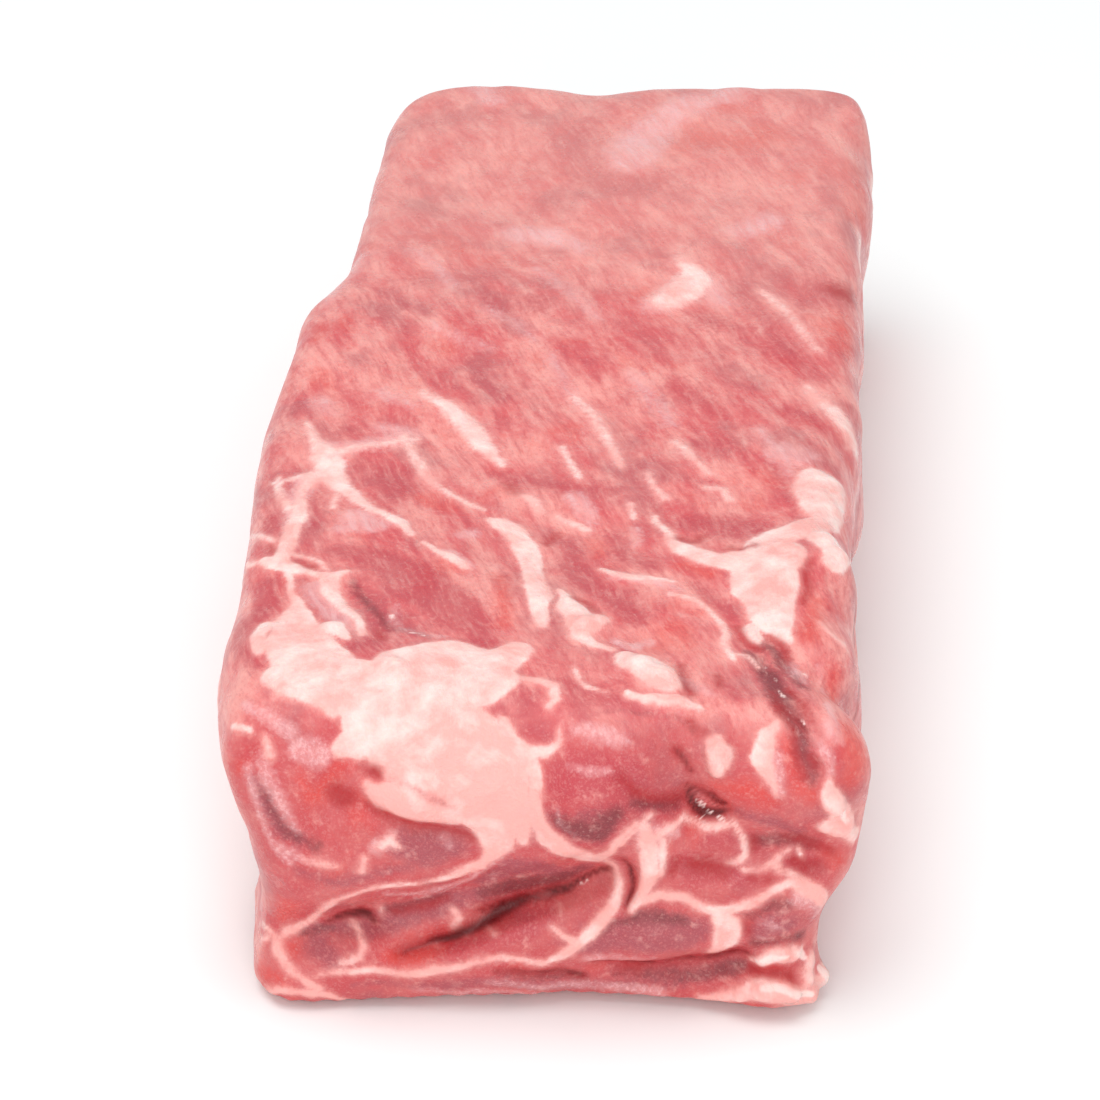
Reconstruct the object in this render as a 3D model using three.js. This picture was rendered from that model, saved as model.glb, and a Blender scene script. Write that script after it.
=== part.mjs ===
// A raw beef sirloin flap: one long trimmed slab of muscle and fat, lying flat.
//
// The slab is one solid. It starts as a box of small quads, whose vertices are then moved
// by the functions below, in order: the rims and the corners are rounded, the long sides
// are bowed and drawn in under the top, the top is laid in shallow swells, and the two cut
// ends get the lobes, the seams between muscles and the pits of the real one.
//
// Millimetres. +X is across the slab, +Y runs from the near cut end to the far end, and
// +Z is up. The origin is at the middle of the slab's underside.

import * as THREE from "three";
import { mergeVertices } from "three/addons/utils/BufferGeometryUtils.js";

// Overall size.
const LENGTH = 266;
const WIDTH = 113;
const THICKNESS = 57;
// Height of the top over most of the slab: the swells make up the rest of the thickness.
const TABLE_HEIGHT = 55;

// Quads across, along and up. The rows along the slab are crowded towards the near end.
const QUADS_ACROSS = 34;
const QUADS_ALONG = 34;
const QUADS_UP = 19;
const CROWDING = 0.22;

// Radii of the rounded rims, and of the four corners seen from above. The top rim is
// fuller at the near end and crisper at the far end, over stretches that start and end at
// these distances from the end.
const TOP_RIM_RADIUS = 9;
const NEAR_RIM_RADIUS = 15;
const NEAR_RIM_STRETCH = { from: 40, to: 10 };
const FAR_RIM_RADIUS = 5;
const FAR_RIM_STRETCH = { from: 24, to: 6 };
const BOTTOM_RIM_RADIUS = 2.5;
const CORNER_RADII = { nearLeft: 12, nearRight: 8, farLeft: 20, farRight: 9 };

// Distances of the two long sides from the middle plane.
const LEFT_REACH = 47.6;
const RIGHT_REACH = 53.6;
// Each bow moves a long side out over a stretch of the slab: at is its middle, half is how
// far it runs each way, and out is how far it stands out there.
const LEFT_BOWS = [
  { at: -22, half: 70, out: 3.8 },
  { at: -70, half: 9, out: 0.9 },
  { at: -128, half: 26, out: -1.4 },
  { at: -44, half: 14, out: -1.4 },
];
const RIGHT_BOWS = [
  { at: -124, half: 17, out: 3.6 },
  { at: -98, half: 12, out: 1.2 },
  { at: -72, half: 11, out: 2.6 },
  { at: -45, half: 24, out: -0.6 },
  { at: -7, half: 22, out: 2.6 },
];
// The left side steps out where a fold of the meat begins, and the right side flares.
const LEFT_STEP = { from: 40, to: 23, out: 4.2 };
const RIGHT_FLARE = { from: -10, to: 100, out: 2.2 };

// The sides draw in under the top. The waist is narrowest at its height, and fades out
// upwards at top; foot is the inset at the floor. It is deepest at the near end, and
// fades to a share of that along the slab.
const LEFT_WAIST = { height: 20, top: 54, inset: 7.4, foot: 5.2 };
const RIGHT_WAIST = { height: 11, top: 32, inset: 8, foot: 5.6 };
const WAIST_FADE = { from: -100, to: -20, share: 0.55 };

// The near cut end is a little askew, and bellies out below its rim.
const NEAR_END_SKEW = 0.04;
const NEAR_END_BELLY = { height: 44, out: 0.6 };

// Swells and hollows of the top: middle, reach across and along, and rise.
const TOP_SWELLS = [
  { name: "near_fat_cap", x: -22, y: -116, across: 24, along: 16, rise: 1.6 },
  { name: "near_left_muscle", x: -24, y: -84, across: 20, along: 20, rise: 1.1 },
  { name: "middle_trough", x: 6, y: -62, across: 16, along: 24, rise: -1.2 },
  { name: "right_fat_knob", x: 44, y: -70, across: 12, along: 14, rise: 1.3 },
  { name: "right_channel", x: 38, y: -104, across: 8, along: 16, rise: -1.5 },
  { name: "left_step_swell", x: -38, y: 12, across: 22, along: 34, rise: 1.4 },
  { name: "far_left_hollow", x: -30, y: 78, across: 20, along: 30, rise: -1.8 },
  { name: "far_middle_ridge", x: 12, y: 92, across: 16, along: 34, rise: 1.2 },
  { name: "right_hollow", x: 36, y: 26, across: 14, along: 22, rise: -1.4 },
  { name: "far_notch", x: -4, y: 132, across: 9, along: 16, rise: -2.6 },
  { name: "far_left_slope", x: -50, y: 130, across: 14, along: 24, rise: -3 },
  { name: "far_rise", x: 0, y: 140, across: 70, along: 40, rise: 1.2 },
  { name: "far_right_rise", x: 40, y: 132, across: 24, along: 34, rise: 0.8 },
];

// Lobes of muscle and fat on the cut ends: middle, reach across and up, and how far each
// stands out of the end.
const NEAR_LOBES = [
  { name: "upper_left_lobe", x: -28, z: 30, across: 20, up: 11, out: 1.8 },
  { name: "fat_tongue", x: -14, z: 41, across: 13, up: 8, out: 1.6 },
  { name: "round_muscle", x: 12, z: 40, across: 10, up: 9, out: 2.4 },
  { name: "right_shoulder", x: 50, z: 46, across: 9, up: 9, out: 1.8 },
  { name: "lower_muscle", x: -8, z: 9, across: 26, up: 6, out: 2 },
  { name: "right_lens", x: 24, z: 15, across: 12, up: 5, out: 1.8 },
  { name: "foot_left", x: -38, z: 2, across: 16, up: 7, out: 2 },
  { name: "foot_hollow", x: 12, z: 0, across: 20, up: 4, out: -1.4 },
  { name: "fat_lumps", x: 43, z: 5, across: 8, up: 6, out: 2.4 },
];
const FAR_LOBES = [
  { name: "far_upper_lobe", x: 22, z: 36, across: 22, up: 10, out: 2.2 },
  { name: "far_lower_lobe", x: -16, z: 14, across: 26, up: 8, out: 2 },
  { name: "far_left_lobe", x: -30, z: 40, across: 12, up: 9, out: 1.4 },
];

// Seams that open between the muscles of the cut ends: points of their line across the
// end (x, height), and how wide and deep they are.
const NEAR_SEAMS = [
  {
    name: "lid_cleft",
    line: [[-36, 14], [-20, 17.5], [-6, 21], [6, 24], [14, 28]],
    width: 4.2,
    depth: 4.6,
  },
  { name: "foot_cleft", line: [[10, 6.5], [24, 8], [38, 10.5]], width: 3.4, depth: 2.6 },
  { name: "right_fold", line: [[36, 33], [46, 32], [56, 37]], width: 5, depth: 2.8 },
  { name: "dark_pit", line: [[26, 44], [30, 40]], width: 4.6, depth: 3.4 },
];
const FAR_SEAMS = [
  { name: "far_cleft", line: [[-40, 31], [-16, 26], [8, 26], [32, 21]], width: 4.4, depth: 4 },
  { name: "far_split", line: [[0, 48], [4, 40], [6, 30]], width: 4.4, depth: 2.8 },
];
// The lobes and seams fade out into the slab between these distances from an end.
const END_STRETCH = { from: 16, to: 3 };

// Waves of the meat, finer than the swells. They cross the long sides and the top, and
// fade out downwards: rise is their height, and long and up their lengths divided by 2 pi.
const SIDE_WAVES = [
  { rise: 0.8, long: 11, up: 9 },
  { rise: 0.5, long: 5.3, up: -6 },
];
const TOP_WAVES = [
  { rise: 0.25, long: 9, across: 8 },
  { rise: 0.2, long: -6.5, across: 12 },
];
const WAVE_FADE = { from: 2, to: 12 };
const SIDE_BAND = { from: 0.75, to: 0.98 };

// From 0 at from to 1 at to, easing in and out.
function ease({ from, to }, t) {
  const s = THREE.MathUtils.clamp((t - from) / (to - from), 0, 1);
  return s * s * (3 - 2 * s);
}

function sum(list, value) {
  return list.reduce((total, item) => total + value(item), 0);
}

// A smooth hill: 1 at its middle, falling away over its two reaches.
function hill(du, dv, reachU, reachV) {
  return Math.exp(-((du / reachU) ** 2) - (dv / reachV) ** 2);
}

function bow(y, { at, half, out }) {
  const away = Math.min(1, Math.abs(y - at) / half);
  return out * Math.cos((away * Math.PI) / 2) ** 2;
}

function distanceToLine(x, z, line) {
  let nearest = Infinity;
  for (let i = 1; i < line.length; i++) {
    const [ax, az] = line[i - 1];
    const [bx, bz] = line[i];
    const dx = bx - ax;
    const dz = bz - az;
    const t = THREE.MathUtils.clamp(((x - ax) * dx + (z - az) * dz) / (dx * dx + dz * dz), 0, 1);
    nearest = Math.min(nearest, Math.hypot(x - ax - t * dx, z - az - t * dz));
  }
  return nearest;
}

// Distances into the slab from its near and far ends.
const fromNear = (p) => p.y + LENGTH / 2;
const fromFar = (p) => LENGTH / 2 - p.y;

function crowdRows(p) {
  const along = p.y / LENGTH + 0.5;
  p.y = LENGTH * (along - CROWDING * Math.sin(Math.PI * along) * (1 - along) - 0.5);
}

// Rounds the top and bottom rims: a point nearer than the radius to both a side and the
// top or bottom moves onto the arc between them. Its inset is that to the nearest side.
function roundRims(p) {
  const insetX = WIDTH / 2 - Math.abs(p.x);
  const insetY = LENGTH / 2 - Math.abs(p.y);
  const inset = Math.min(insetX, insetY);
  const depth = THICKNESS / 2 - Math.abs(p.z);
  const topRadius = TOP_RIM_RADIUS
    + (NEAR_RIM_RADIUS - TOP_RIM_RADIUS) * ease(NEAR_RIM_STRETCH, fromNear(p))
    + (FAR_RIM_RADIUS - TOP_RIM_RADIUS) * ease(FAR_RIM_STRETCH, fromFar(p));
  const radius = p.z > 0 ? topRadius : BOTTOM_RIM_RADIUS;
  if (inset >= radius || depth >= radius) return;
  const inward = radius - inset;
  const upward = radius - depth;
  const shrink = Math.max(inward, upward) / Math.hypot(inward, upward);
  const newInset = radius - inward * shrink;
  if (insetX < newInset) p.x = Math.sign(p.x) * (WIDTH / 2 - newInset);
  if (insetY < newInset) p.y = Math.sign(p.y) * (LENGTH / 2 - newInset);
  p.z = Math.sign(p.z) * (THICKNESS / 2 - radius + upward * shrink);
}

// Cuts the four corners back, as seen from above, by mapping each corner square to a disc.
function roundCorners(p) {
  const radius = CORNER_RADII[(p.y < 0 ? "near" : "far") + (p.x < 0 ? "Left" : "Right")];
  const inX = Math.abs(p.x) - (WIDTH / 2 - radius);
  const inY = Math.abs(p.y) - (LENGTH / 2 - radius);
  if (inX <= 0 || inY <= 0) return;
  const shrink = Math.max(inX, inY) / Math.hypot(inX, inY);
  p.x = Math.sign(p.x) * (WIDTH / 2 - radius + inX * shrink);
  p.y = Math.sign(p.y) * (LENGTH / 2 - radius + inY * shrink);
}

function standOnFloor(p) {
  p.z += THICKNESS / 2;
}

// How far a long side draws in at a height.
function waistInset(p, { height, top, inset, foot }) {
  const share = THREE.MathUtils.lerp(1, WAIST_FADE.share, ease(WAIST_FADE, p.y));
  const drawnIn = p.z > height
    ? inset * (1 - ease({ from: height, to: top }, p.z))
    : THREE.MathUtils.lerp(foot, inset, ease({ from: 0, to: height }, p.z));
  return share * drawnIn;
}

function shapeSides(p) {
  const left = LEFT_REACH + LEFT_STEP.out * ease(LEFT_STEP, p.y)
    + sum(LEFT_BOWS, (item) => bow(p.y, item)) - waistInset(p, LEFT_WAIST);
  const right = RIGHT_REACH + RIGHT_FLARE.out * ease(RIGHT_FLARE, p.y)
    + sum(RIGHT_BOWS, (item) => bow(p.y, item)) - waistInset(p, RIGHT_WAIST);
  p.x *= (p.x < 0 ? left : right) / (WIDTH / 2);
}

// Lays the top in swells. The height is scaled, so that the underside stays flat.
function shapeTop(p) {
  const rise = sum(TOP_SWELLS, (swell) =>
    swell.rise * hill(p.x - swell.x, p.y - swell.y, swell.across, swell.along));
  p.z *= (TABLE_HEIGHT + rise) / THICKNESS;
}

// How far the lobes and seams of a cut end move a point outwards.
function endRelief(p, lobes, seams) {
  const out = sum(lobes, (lobe) => lobe.out * hill(p.x - lobe.x, p.z - lobe.z, lobe.across, lobe.up));
  const cut = sum(seams, ({ line, width, depth }) =>
    depth * hill(distanceToLine(p.x, p.z, line), 0, width, 1));
  return out - cut;
}

function shapeEnds(p) {
  const near = ease(END_STRETCH, fromNear(p));
  const far = ease(END_STRETCH, fromFar(p));
  const up = THREE.MathUtils.clamp(p.z / NEAR_END_BELLY.height, 0, 1);
  const nearOut = endRelief(p, NEAR_LOBES, NEAR_SEAMS) + NEAR_END_BELLY.out * Math.sin(Math.PI * up);
  const farOut = endRelief(p, FAR_LOBES, FAR_SEAMS);
  p.y += NEAR_END_SKEW * p.x * near + far * farOut - near * nearOut;
}

function addWaves(p) {
  const fade = ease(WAVE_FADE, p.z);
  const onSide = Math.sign(p.x) * ease(SIDE_BAND, Math.abs(p.x) / (WIDTH / 2));
  const sideways = sum(SIDE_WAVES, ({ rise, long, up }) => rise * Math.sin(p.y / long + p.z / up));
  const upwards = sum(TOP_WAVES, ({ rise, long, across }) => rise * Math.sin(p.y / long + p.x / across));
  p.x += fade * onSide * sideways;
  p.z += fade * upwards;
}

// Puts the slab's box at its exact size, with the origin in the middle of its underside.
function fitToSize(geometry) {
  geometry.computeBoundingBox();
  const size = geometry.boundingBox.getSize(new THREE.Vector3());
  const middle = geometry.boundingBox.getCenter(new THREE.Vector3());
  geometry.translate(-middle.x, -middle.y, -geometry.boundingBox.min.z);
  geometry.scale(WIDTH / size.x, LENGTH / size.y, THICKNESS / size.z);
}

function slabGeometry() {
  const box = new THREE.BoxGeometry(WIDTH, LENGTH, THICKNESS, QUADS_ACROSS, QUADS_ALONG, QUADS_UP);
  box.deleteAttribute("normal");
  box.deleteAttribute("uv");
  const geometry = mergeVertices(box);
  const position = geometry.getAttribute("position");
  const shapes = [
    crowdRows, roundRims, roundCorners, standOnFloor, shapeSides, shapeTop, shapeEnds, addWaves,
  ];
  for (let i = 0; i < position.count; i++) {
    const p = new THREE.Vector3().fromBufferAttribute(position, i);
    for (const shape of shapes) shape(p);
    position.setXYZ(i, p.x, p.y, p.z);
  }
  fitToSize(geometry);
  geometry.computeVertexNormals();
  return geometry;
}

const flapMeat = new THREE.Mesh(
  slabGeometry(),
  new THREE.MeshStandardMaterial({ color: 0xd97a78, roughness: 0.45, metalness: 0 }),
);
flapMeat.name = "flap_meat";

const beefFlap = new THREE.Group();
beefFlap.name = "beef_sirloin_flap";
beefFlap.add(flapMeat);

export default beefFlap;
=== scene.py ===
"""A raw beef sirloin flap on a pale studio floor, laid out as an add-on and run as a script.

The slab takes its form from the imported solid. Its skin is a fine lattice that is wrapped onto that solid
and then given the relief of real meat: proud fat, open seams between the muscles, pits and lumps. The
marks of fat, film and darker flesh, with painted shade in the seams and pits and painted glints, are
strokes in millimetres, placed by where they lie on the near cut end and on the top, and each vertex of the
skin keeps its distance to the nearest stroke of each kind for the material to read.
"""

import itertools
import math

import bpy
import numpy as np
from bpy.props import FloatProperty, FloatVectorProperty, IntProperty, PointerProperty
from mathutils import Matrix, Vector
from mathutils.bvhtree import BVHTree


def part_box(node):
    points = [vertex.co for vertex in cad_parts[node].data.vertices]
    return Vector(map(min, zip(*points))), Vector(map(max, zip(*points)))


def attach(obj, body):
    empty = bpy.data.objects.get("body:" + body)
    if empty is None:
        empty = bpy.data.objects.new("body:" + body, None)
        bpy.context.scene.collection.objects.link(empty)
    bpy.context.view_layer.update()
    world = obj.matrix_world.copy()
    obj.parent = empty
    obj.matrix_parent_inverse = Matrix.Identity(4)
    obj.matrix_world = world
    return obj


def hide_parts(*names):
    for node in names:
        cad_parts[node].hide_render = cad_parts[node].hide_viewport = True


bl_info = {
    "name": "Beef Sirloin Flap",
    "version": (1, 0, 0),
    "blender": (4, 5, 0),
    "location": "View3D > Sidebar > Flap",
    "description": "Builds a raw beef sirloin flap with its marbling, and a studio stage",
    "category": "Object",
}

MM = 0.001
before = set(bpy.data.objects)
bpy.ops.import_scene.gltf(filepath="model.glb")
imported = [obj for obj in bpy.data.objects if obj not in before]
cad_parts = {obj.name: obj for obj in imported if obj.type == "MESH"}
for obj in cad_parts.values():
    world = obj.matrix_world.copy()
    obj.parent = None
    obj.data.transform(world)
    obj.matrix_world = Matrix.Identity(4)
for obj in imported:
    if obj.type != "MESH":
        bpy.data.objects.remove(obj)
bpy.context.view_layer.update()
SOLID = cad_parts["flap_meat"]
LOW, HIGH = (np.array(corner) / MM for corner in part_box("flap_meat"))

# The viewpoint of the picture, in millimetres: where the eye is, how far it looks down,
# how far it stands round to the right of straight ahead, and its lens and sensor.
EYE = np.array([44.0, -653.6, 392.0])
LOOK_DOWN = math.radians(30.0)
LOOK_ROUND = math.radians(4.24)
LENS = 127.6
SENSOR = 36

# The strokes were read off along sight lines from that viewpoint: on the near cut end as
# (x, height) on a flat plane there, and on the top as (x, y) on a level plane. Their
# middle is a little off the middle of the slab.
NEAR_PLANE = -126.6
TOP_PLANE = 55.0
READING_SHIFT = np.array([2.0, 2.4])

# The muscle fibres run along the slab, turned by this much about the vertical.
GRAIN_TURN = math.radians(22.0)

# The spot that the studio lights aim at, in metres.
LIT_SPOT = Vector((0, -0.03, 0.03))

# --- Strokes. -------------------------------------------------------------------------

# Each is a line of (across, along or up, half-width) in millimetres. A half-width below
# zero gives a faint line.

NEAR_FAT = {
    "cap_brow": [(-41, 61, 2.5), (-34, 62, 4), (-25, 60, 5), (-16, 60, 6), (-8, 61, 4), (-4, 62, 2.4)],
    "cap_face": [(-25, 53, 5.2), (-19, 50, 7.5), (-12, 49, 8), (-8, 43, 7), (-7, 37, 4.2), (-6, 33, 3)],
    "cap_left": [(-40, 59, 1.2), (-37, 58.5, 1.4), (-32, 56, 2)],
    "cap_corner": [(-31, 48, 1.6), (-29, 49, 2.2)],
    "tongue": [(-27, 41.2, 0.9), (-24.5, 39.2, 2.5), (-20, 38.2, 3.4), (-14, 38, 3.6)],
    "apron": [(-6, 35, 2.6), (-5.2, 31.8, 2.3), (-7.6, 28.4, 1.1)],
    "apron_right": [(-3.2, 40, 2.6), (-2.4, 35.6, 2.2), (-1.4, 31.8, 0.7)],
    "lid_seam": [
        (-45.4, 9.6, 0.3), (-42.4, 10.4, 0.6), (-39.4, 12.4, 0.6), (-35.6, 15.6, 0.6),
        (-31.1, 18.9, 0.5), (-28, 20.7, 0.5), (-22.1, 22, 0.4), (-18, 22.7, 0.5), (-15, 23.8, 0.6),
        (-12, 25.2, 0.7), (-8.4, 27.4, 1),
    ],
    "foot_seam": [
        (-45.6, 13.2, 0.4), (-43.8, 10.6, 0.6), (-42.4, 7.5, 0.7), (-40.9, 4.5, 0.8), (-38.5, 2, 0.8),
        (-36, 0, 0.7),
    ],
    "foot_rim": [(-46, 0.2, 0.4), (-41, -0.6, 0.7), (-36, -1.1, 0.7), (-31.7, -2, 0.5)],
    "ring_left": [
        (-4.4, 55, 1), (-3.8, 51.4, 1.2), (-1.6, 48, 1.4), (0, 45, 1.1), (0, 42, 1), (0, 39, 1.2),
        (0.6, 36, 1.5), (2.4, 33.2, 1.8), (4.6, 31.2, 1.8),
    ],
    "ring_foot": [
        (4.6, 31, 1.7), (8.4, 29.3, 1.7), (11, 29, 1.4), (12.6, 30.6, 1), (14.6, 33.6, 0.7),
        (16.4, 36, 0.4),
    ],
    "ring_islet": [(-1, 48.4, 1), (2.2, 48.6, 0.8), (4.4, 50.6, 0.6), (4.9, 53.4, 0.4)],
    "pillar": [
        (12.8, 27.4, 0.8), (13.8, 25, 0.7), (13.8, 22, 0.7), (12.7, 19, 0.9), (10.9, 15.9, 1),
        (8.3, 13, 1), (5.8, 10.2, 0.9), (4.2, 8.6, 0.7), (1.8, 7.7, 0.5), (-1.8, 7.9, 0.4),
        (-5.4, 8.1, 0.4), (-9.1, 6.8, 0.5), (-13.6, 5.3, 0.6), (-18.2, 4.1, 0.7), (-22.5, 3.9, 0.6),
        (-25.2, 4.4, 0.6), (-28.4, 4.4, 0.5), (-31.5, 4.5, 0.4), (-35.9, 3.3, 0.2),
    ],
    "lower_fork": [(3.4, 15.2, 0.2), (4.8, 13.8, 0.4), (6.4, 12.4, 0.7)],
    "right_pillar": [
        (17.8, 35.2, 0.7), (19, 31, 1.3), (19.7, 27, 1.3), (18.8, 23.4, 1.1), (16.6, 19.6, 0.8),
    ],
    "pillar_streak": [(15, 32.4, 0.3), (16.6, 35, 0.4), (19, 38, 0.3)],
    "sill": [
        (16.4, 19.4, 0.7), (18.6, 21, 0.8), (20.9, 22, 0.8), (25.2, 22, 0.8), (28, 20.4, 0.8),
        (31.7, 19.6, 0.8), (34.3, 20.6, 0.7), (38.5, 22.9, 0.6), (41.9, 24.6, 0.8), (45.3, 24.2, 1.4),
        (48.4, 22.4, 1.2),
    ],
    "post": [(31.2, 18.6, 1.3), (32.4, 16.4, 2.3), (32.2, 13.6, 2), (30.8, 11, 1.1)],
    "vein_top": [
        (33, 36.4, 0.4), (34.3, 33.6, 0.6), (35.4, 31, 0.5), (33.4, 29.5, 0.4), (31.5, 28.8, 0.2),
    ],
    "vein_mid": [
        (34.4, 28.2, 0.3), (37.5, 27.9, 0.4), (39.4, 29.4, 0.5), (40.8, 31.2, 0.4), (42, 32, 0.3),
    ],
    "vein_down": [(40, 29, 0.6), (40.8, 27.4, 0.5), (43, 26, 0.7), (45.3, 25, 0.9)],
    "vein_fleck": [(43.7, 31.5, 0.4), (44.3, 30.4, 0.4)],
    "vein_left": [(21, 33, 0.6), (21.3, 29.6, 0.5), (21.2, 26.6, 0.4)],
    "streak_up": [(24.4, 38, 0.5), (22, 35.6, 0.6), (19.8, 33.6, 0.6)],
    "cavity_lip": [(24.8, 37.4, 0.4), (28, 35.6, 0.6), (31.4, 35.6, 0.6)],
    "lower_ledge": [
        (27, 1.2, 0.3), (31, 2.2, 0.7), (35.5, 3.4, 1.2), (38.6, 3.8, 1.6), (42.5, 3.6, 1.8),
        (46, 3.2, 1.7),
    ],
    "ledge_knob": [
        (36.6, 10, 0.6), (38.2, 10.3, 1.3), (40.5, 11.4, 1.6), (42.8, 11.6, 1.7), (44.2, 12.2, 1.1),
    ],
    "ledge_side": [(46, 11, 0.8), (45.3, 8.6, 1), (45.2, 6.6, 0.9), (47.2, 5.6, 1.4), (47.6, 8.6, 1.2)],
    "right_corner": [
        (47.9, 46, 0.7), (49, 42, 1.6), (50.1, 38.6, 2.2), (47.8, 37.6, 1.4), (52.4, 35.6, 1.2),
    ],
    "upper_lump": [(29.4, 53, 1.3), (30.6, 50.4, 1.8), (30.2, 47.6, 1.3)],
    "upper_post": [(39, 56.4, 0.6), (37.4, 53.2, 1.5), (37.2, 50, 1.7), (38.6, 46.6, 1), (40, 43, 0.3)],
    "left_tick": [(-43, 49.3, 0.6), (-43, 46.5, 0.7)],
    "left_glint": [(-48, 51.6, 0.4), (-45.5, 50.8, 0.5)],
    "lobe_tick": [(-27.8, 27.4, 0.4), (-28.1, 25.2, 0.5)],
    "lobe_star": [(-25.2, 29.6, 0.3), (-23.4, 31.3, 0.6), (-22.4, 30, 0.4)],
    "lobe_bar": [(-37.5, 26.7, 0.2), (-34, 26, 0.4), (-31.4, 25.6, 0.2)],
    "lower_arc": [
        (-30.4, 13.6, 0.2), (-28.7, 11.4, 0.3), (-27.9, 8.8, 0.4), (-28.9, 6.8, 0.4), (-32, 5.6, 0.2),
    ],
    "lower_tick": [(-13.6, 17, 0.5), (-12.6, 15, 0.7), (-13.6, 13, 0.5), (-11.6, 12.3, 0.3)],
    "lower_nick": [(-25.4, 17.2, 0.25), (-25.2, 15.8, 0.25)],
    "cleft_thread": [(-8.6, 15.2, 0.25), (-6.2, 13.4, 0.3)],
}

# Silvery film of the near end. Its strokes on the brow and top of the round muscle and on the right lens
# are painted highlights in the film's colour.
NEAR_FILM = {
    "left_skin": [
        (-44.5, 46, 0.8), (-42.7, 41, 1.1), (-41, 37.4, 1.1), (-39.9, 34.5, 1), (-38.5, 32, 0.6),
    ],
    "left_edge": [
        (-46, 44, 0.6), (-45.4, 38, 0.6), (-44, 33, 0.6), (-42.6, 28.5, 0.7), (-40.5, 26, 0.6),
    ],
    "left_flank": [(-47, 30, 0.9), (-46, 24, 1), (-45.5, 17, 1)],
    "lobe_patch": [(-42.4, 29.4, 0.6), (-40.6, 27.6, 0.8), (-37.4, 26.6, 0.3)],
    "lobe_haze": [(-38, 48, 2), (-34.5, 46.8, 2)],
    "star_haze": [(-25.8, 29.2, 1), (-23.6, 31, 1.1)],
    "brow_painted_highlight": [(7.4, 53, 0.8), (11, 52.6, 1.3), (15, 51.6, 0.8)],
    "round_painted_highlight": [(6.4, 46.6, 0.4), (9.4, 45.8, 0.6), (12.4, 46.6, 0.4)],
    "round_arc": [(3.6, 40, 0.2), (4.4, 36.6, 0.3), (6.6, 34.4, 0.2)],
    "purple_spot": [(-14.2, 31.6, 0.6), (-13.2, 30.6, 0.5)],
    "lid_sheen": [(-4, 30.2, 0.6), (-7, 27, 0.6), (-10, 24.2, 0.6), (-14, 21.8, 0.6), (-19, 19.8, 0.4)],
    "lid_foot": [(-24, 20, 0.5), (-19, 20.6, 0.6), (-12, 22.8, 0.6)],
    "right_haze": [(20, 30, 1.6), (18, 35, 1.2), (23, 34.5, 1)],
    "cluster_haze": [(44, 22.8, 1.6), (47.6, 20.8, 1.6)],
    "shoulder_haze": [(40, 44, 1.4), (39.4, 50, 1)],
    "left_high": [(-46, 56, 0.8), (-42, 53.6, 1.2), (-39, 51, 1)],
    "lens_haze": [(8.5, 8.6, 0.6), (13, 9.2, 0.6), (20, 9.6, 0.4)],
    "lens_painted_highlight": [(37.2, 18, 0.2), (39.2, 17.8, 0.5), (41, 17.2, 0.2)],
    "lens_glow": [(37.8, 14.8, 0.2), (39.6, 14.6, 0.3)],
    "band_haze": [(-8, 2.6, 0.5), (2, 2.4, 0.7), (9.5, 3.2, 0.9), (13, 2.8, 1), (22, 2.2, 0.9)],
    "band_rim": [(-20, 0.6, 0.3), (-10, 0.8, 0.4), (2, 0.8, 0.4), (14, 0.6, 0.4), (26, 0.4, 0.4)],
    "cavity_web": [(26.2, 42.2, 0.4), (27.4, 40.4, 0.6)],
    "glove": [(46, 54, 0.9), (47.5, 51, 0.9), (48, 48, 0.7)],
    "brow_line": [(46.8, 60, 0.7), (48.4, 56, 0.5), (49.6, 52.5, 0.3)],
}

# Painted shade in the clefts and slits of the near end, darkest in their depths.
NEAR_SEAM_SHADE = {
    "lid_cleft": [
        (12.4, 26.4, 0.4), (10, 24.8, 0.5), (6.3, 22.8, 0.7), (3.4, 21.4, 0.9), (0.9, 20.3, 1),
        (-2.7, 18.5, 1), (-5.6, 16.7, 1), (-7.6, 15.2, 1), (-11.3, 12.6, 0.8), (-14, 11.4, 0.8),
        (-17, 10.2, 0.7), (-20, 9, 0.5), (-21.6, 8.2, 0.3),
    ],
    "cleft_fork": [(-2.7, 18.4, 0.6), (-5.8, 18, 0.6), (-8.8, 17, 0.4)],
    "lid_pocket": [
        (-34, 13.6, 0.2), (-32.4, 14.3, 0.6), (-30, 15.1, 0.9), (-27.6, 15.5, 1), (-26.5, 14.5, 0.6),
    ],
    "ring_slit": [
        (14.9, 28.6, 0.3), (15.8, 27, 0.5), (16.2, 24.8, 0.6), (16.1, 22.6, 0.5), (15.3, 20, 0.3),
    ],
    "foot_slit": [
        (11, 7.4, 0.2), (16, 7.5, 0.4), (21, 7.3, 0.5), (25.5, 8.5, 0.6), (29, 9.3, 0.6),
        (32, 10, 0.6), (35.2, 10.8, 0.6),
    ],
    "thin_slit": [(-6, 5, 0.2), (-2, 5.4, 0.3), (4, 5.6, 0.3), (8.4, 5.2, 0.5)],
    "cavity": [
        (25.4, 43.4, 0.4), (25.9, 40.6, 0.9), (27.6, 38.4, 1.1), (30, 38, 0.8), (31.8, 38.2, 0.4),
    ],
    "cavity_rim": [(26.6, 42.8, 0.5), (29, 41.8, 0.7), (31, 39.8, 0.6)],
    "cavity_line": [(23.4, 51, 0.2), (24.9, 48.9, 0.5), (25.9, 46.9, 0.4)],
}
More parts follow.
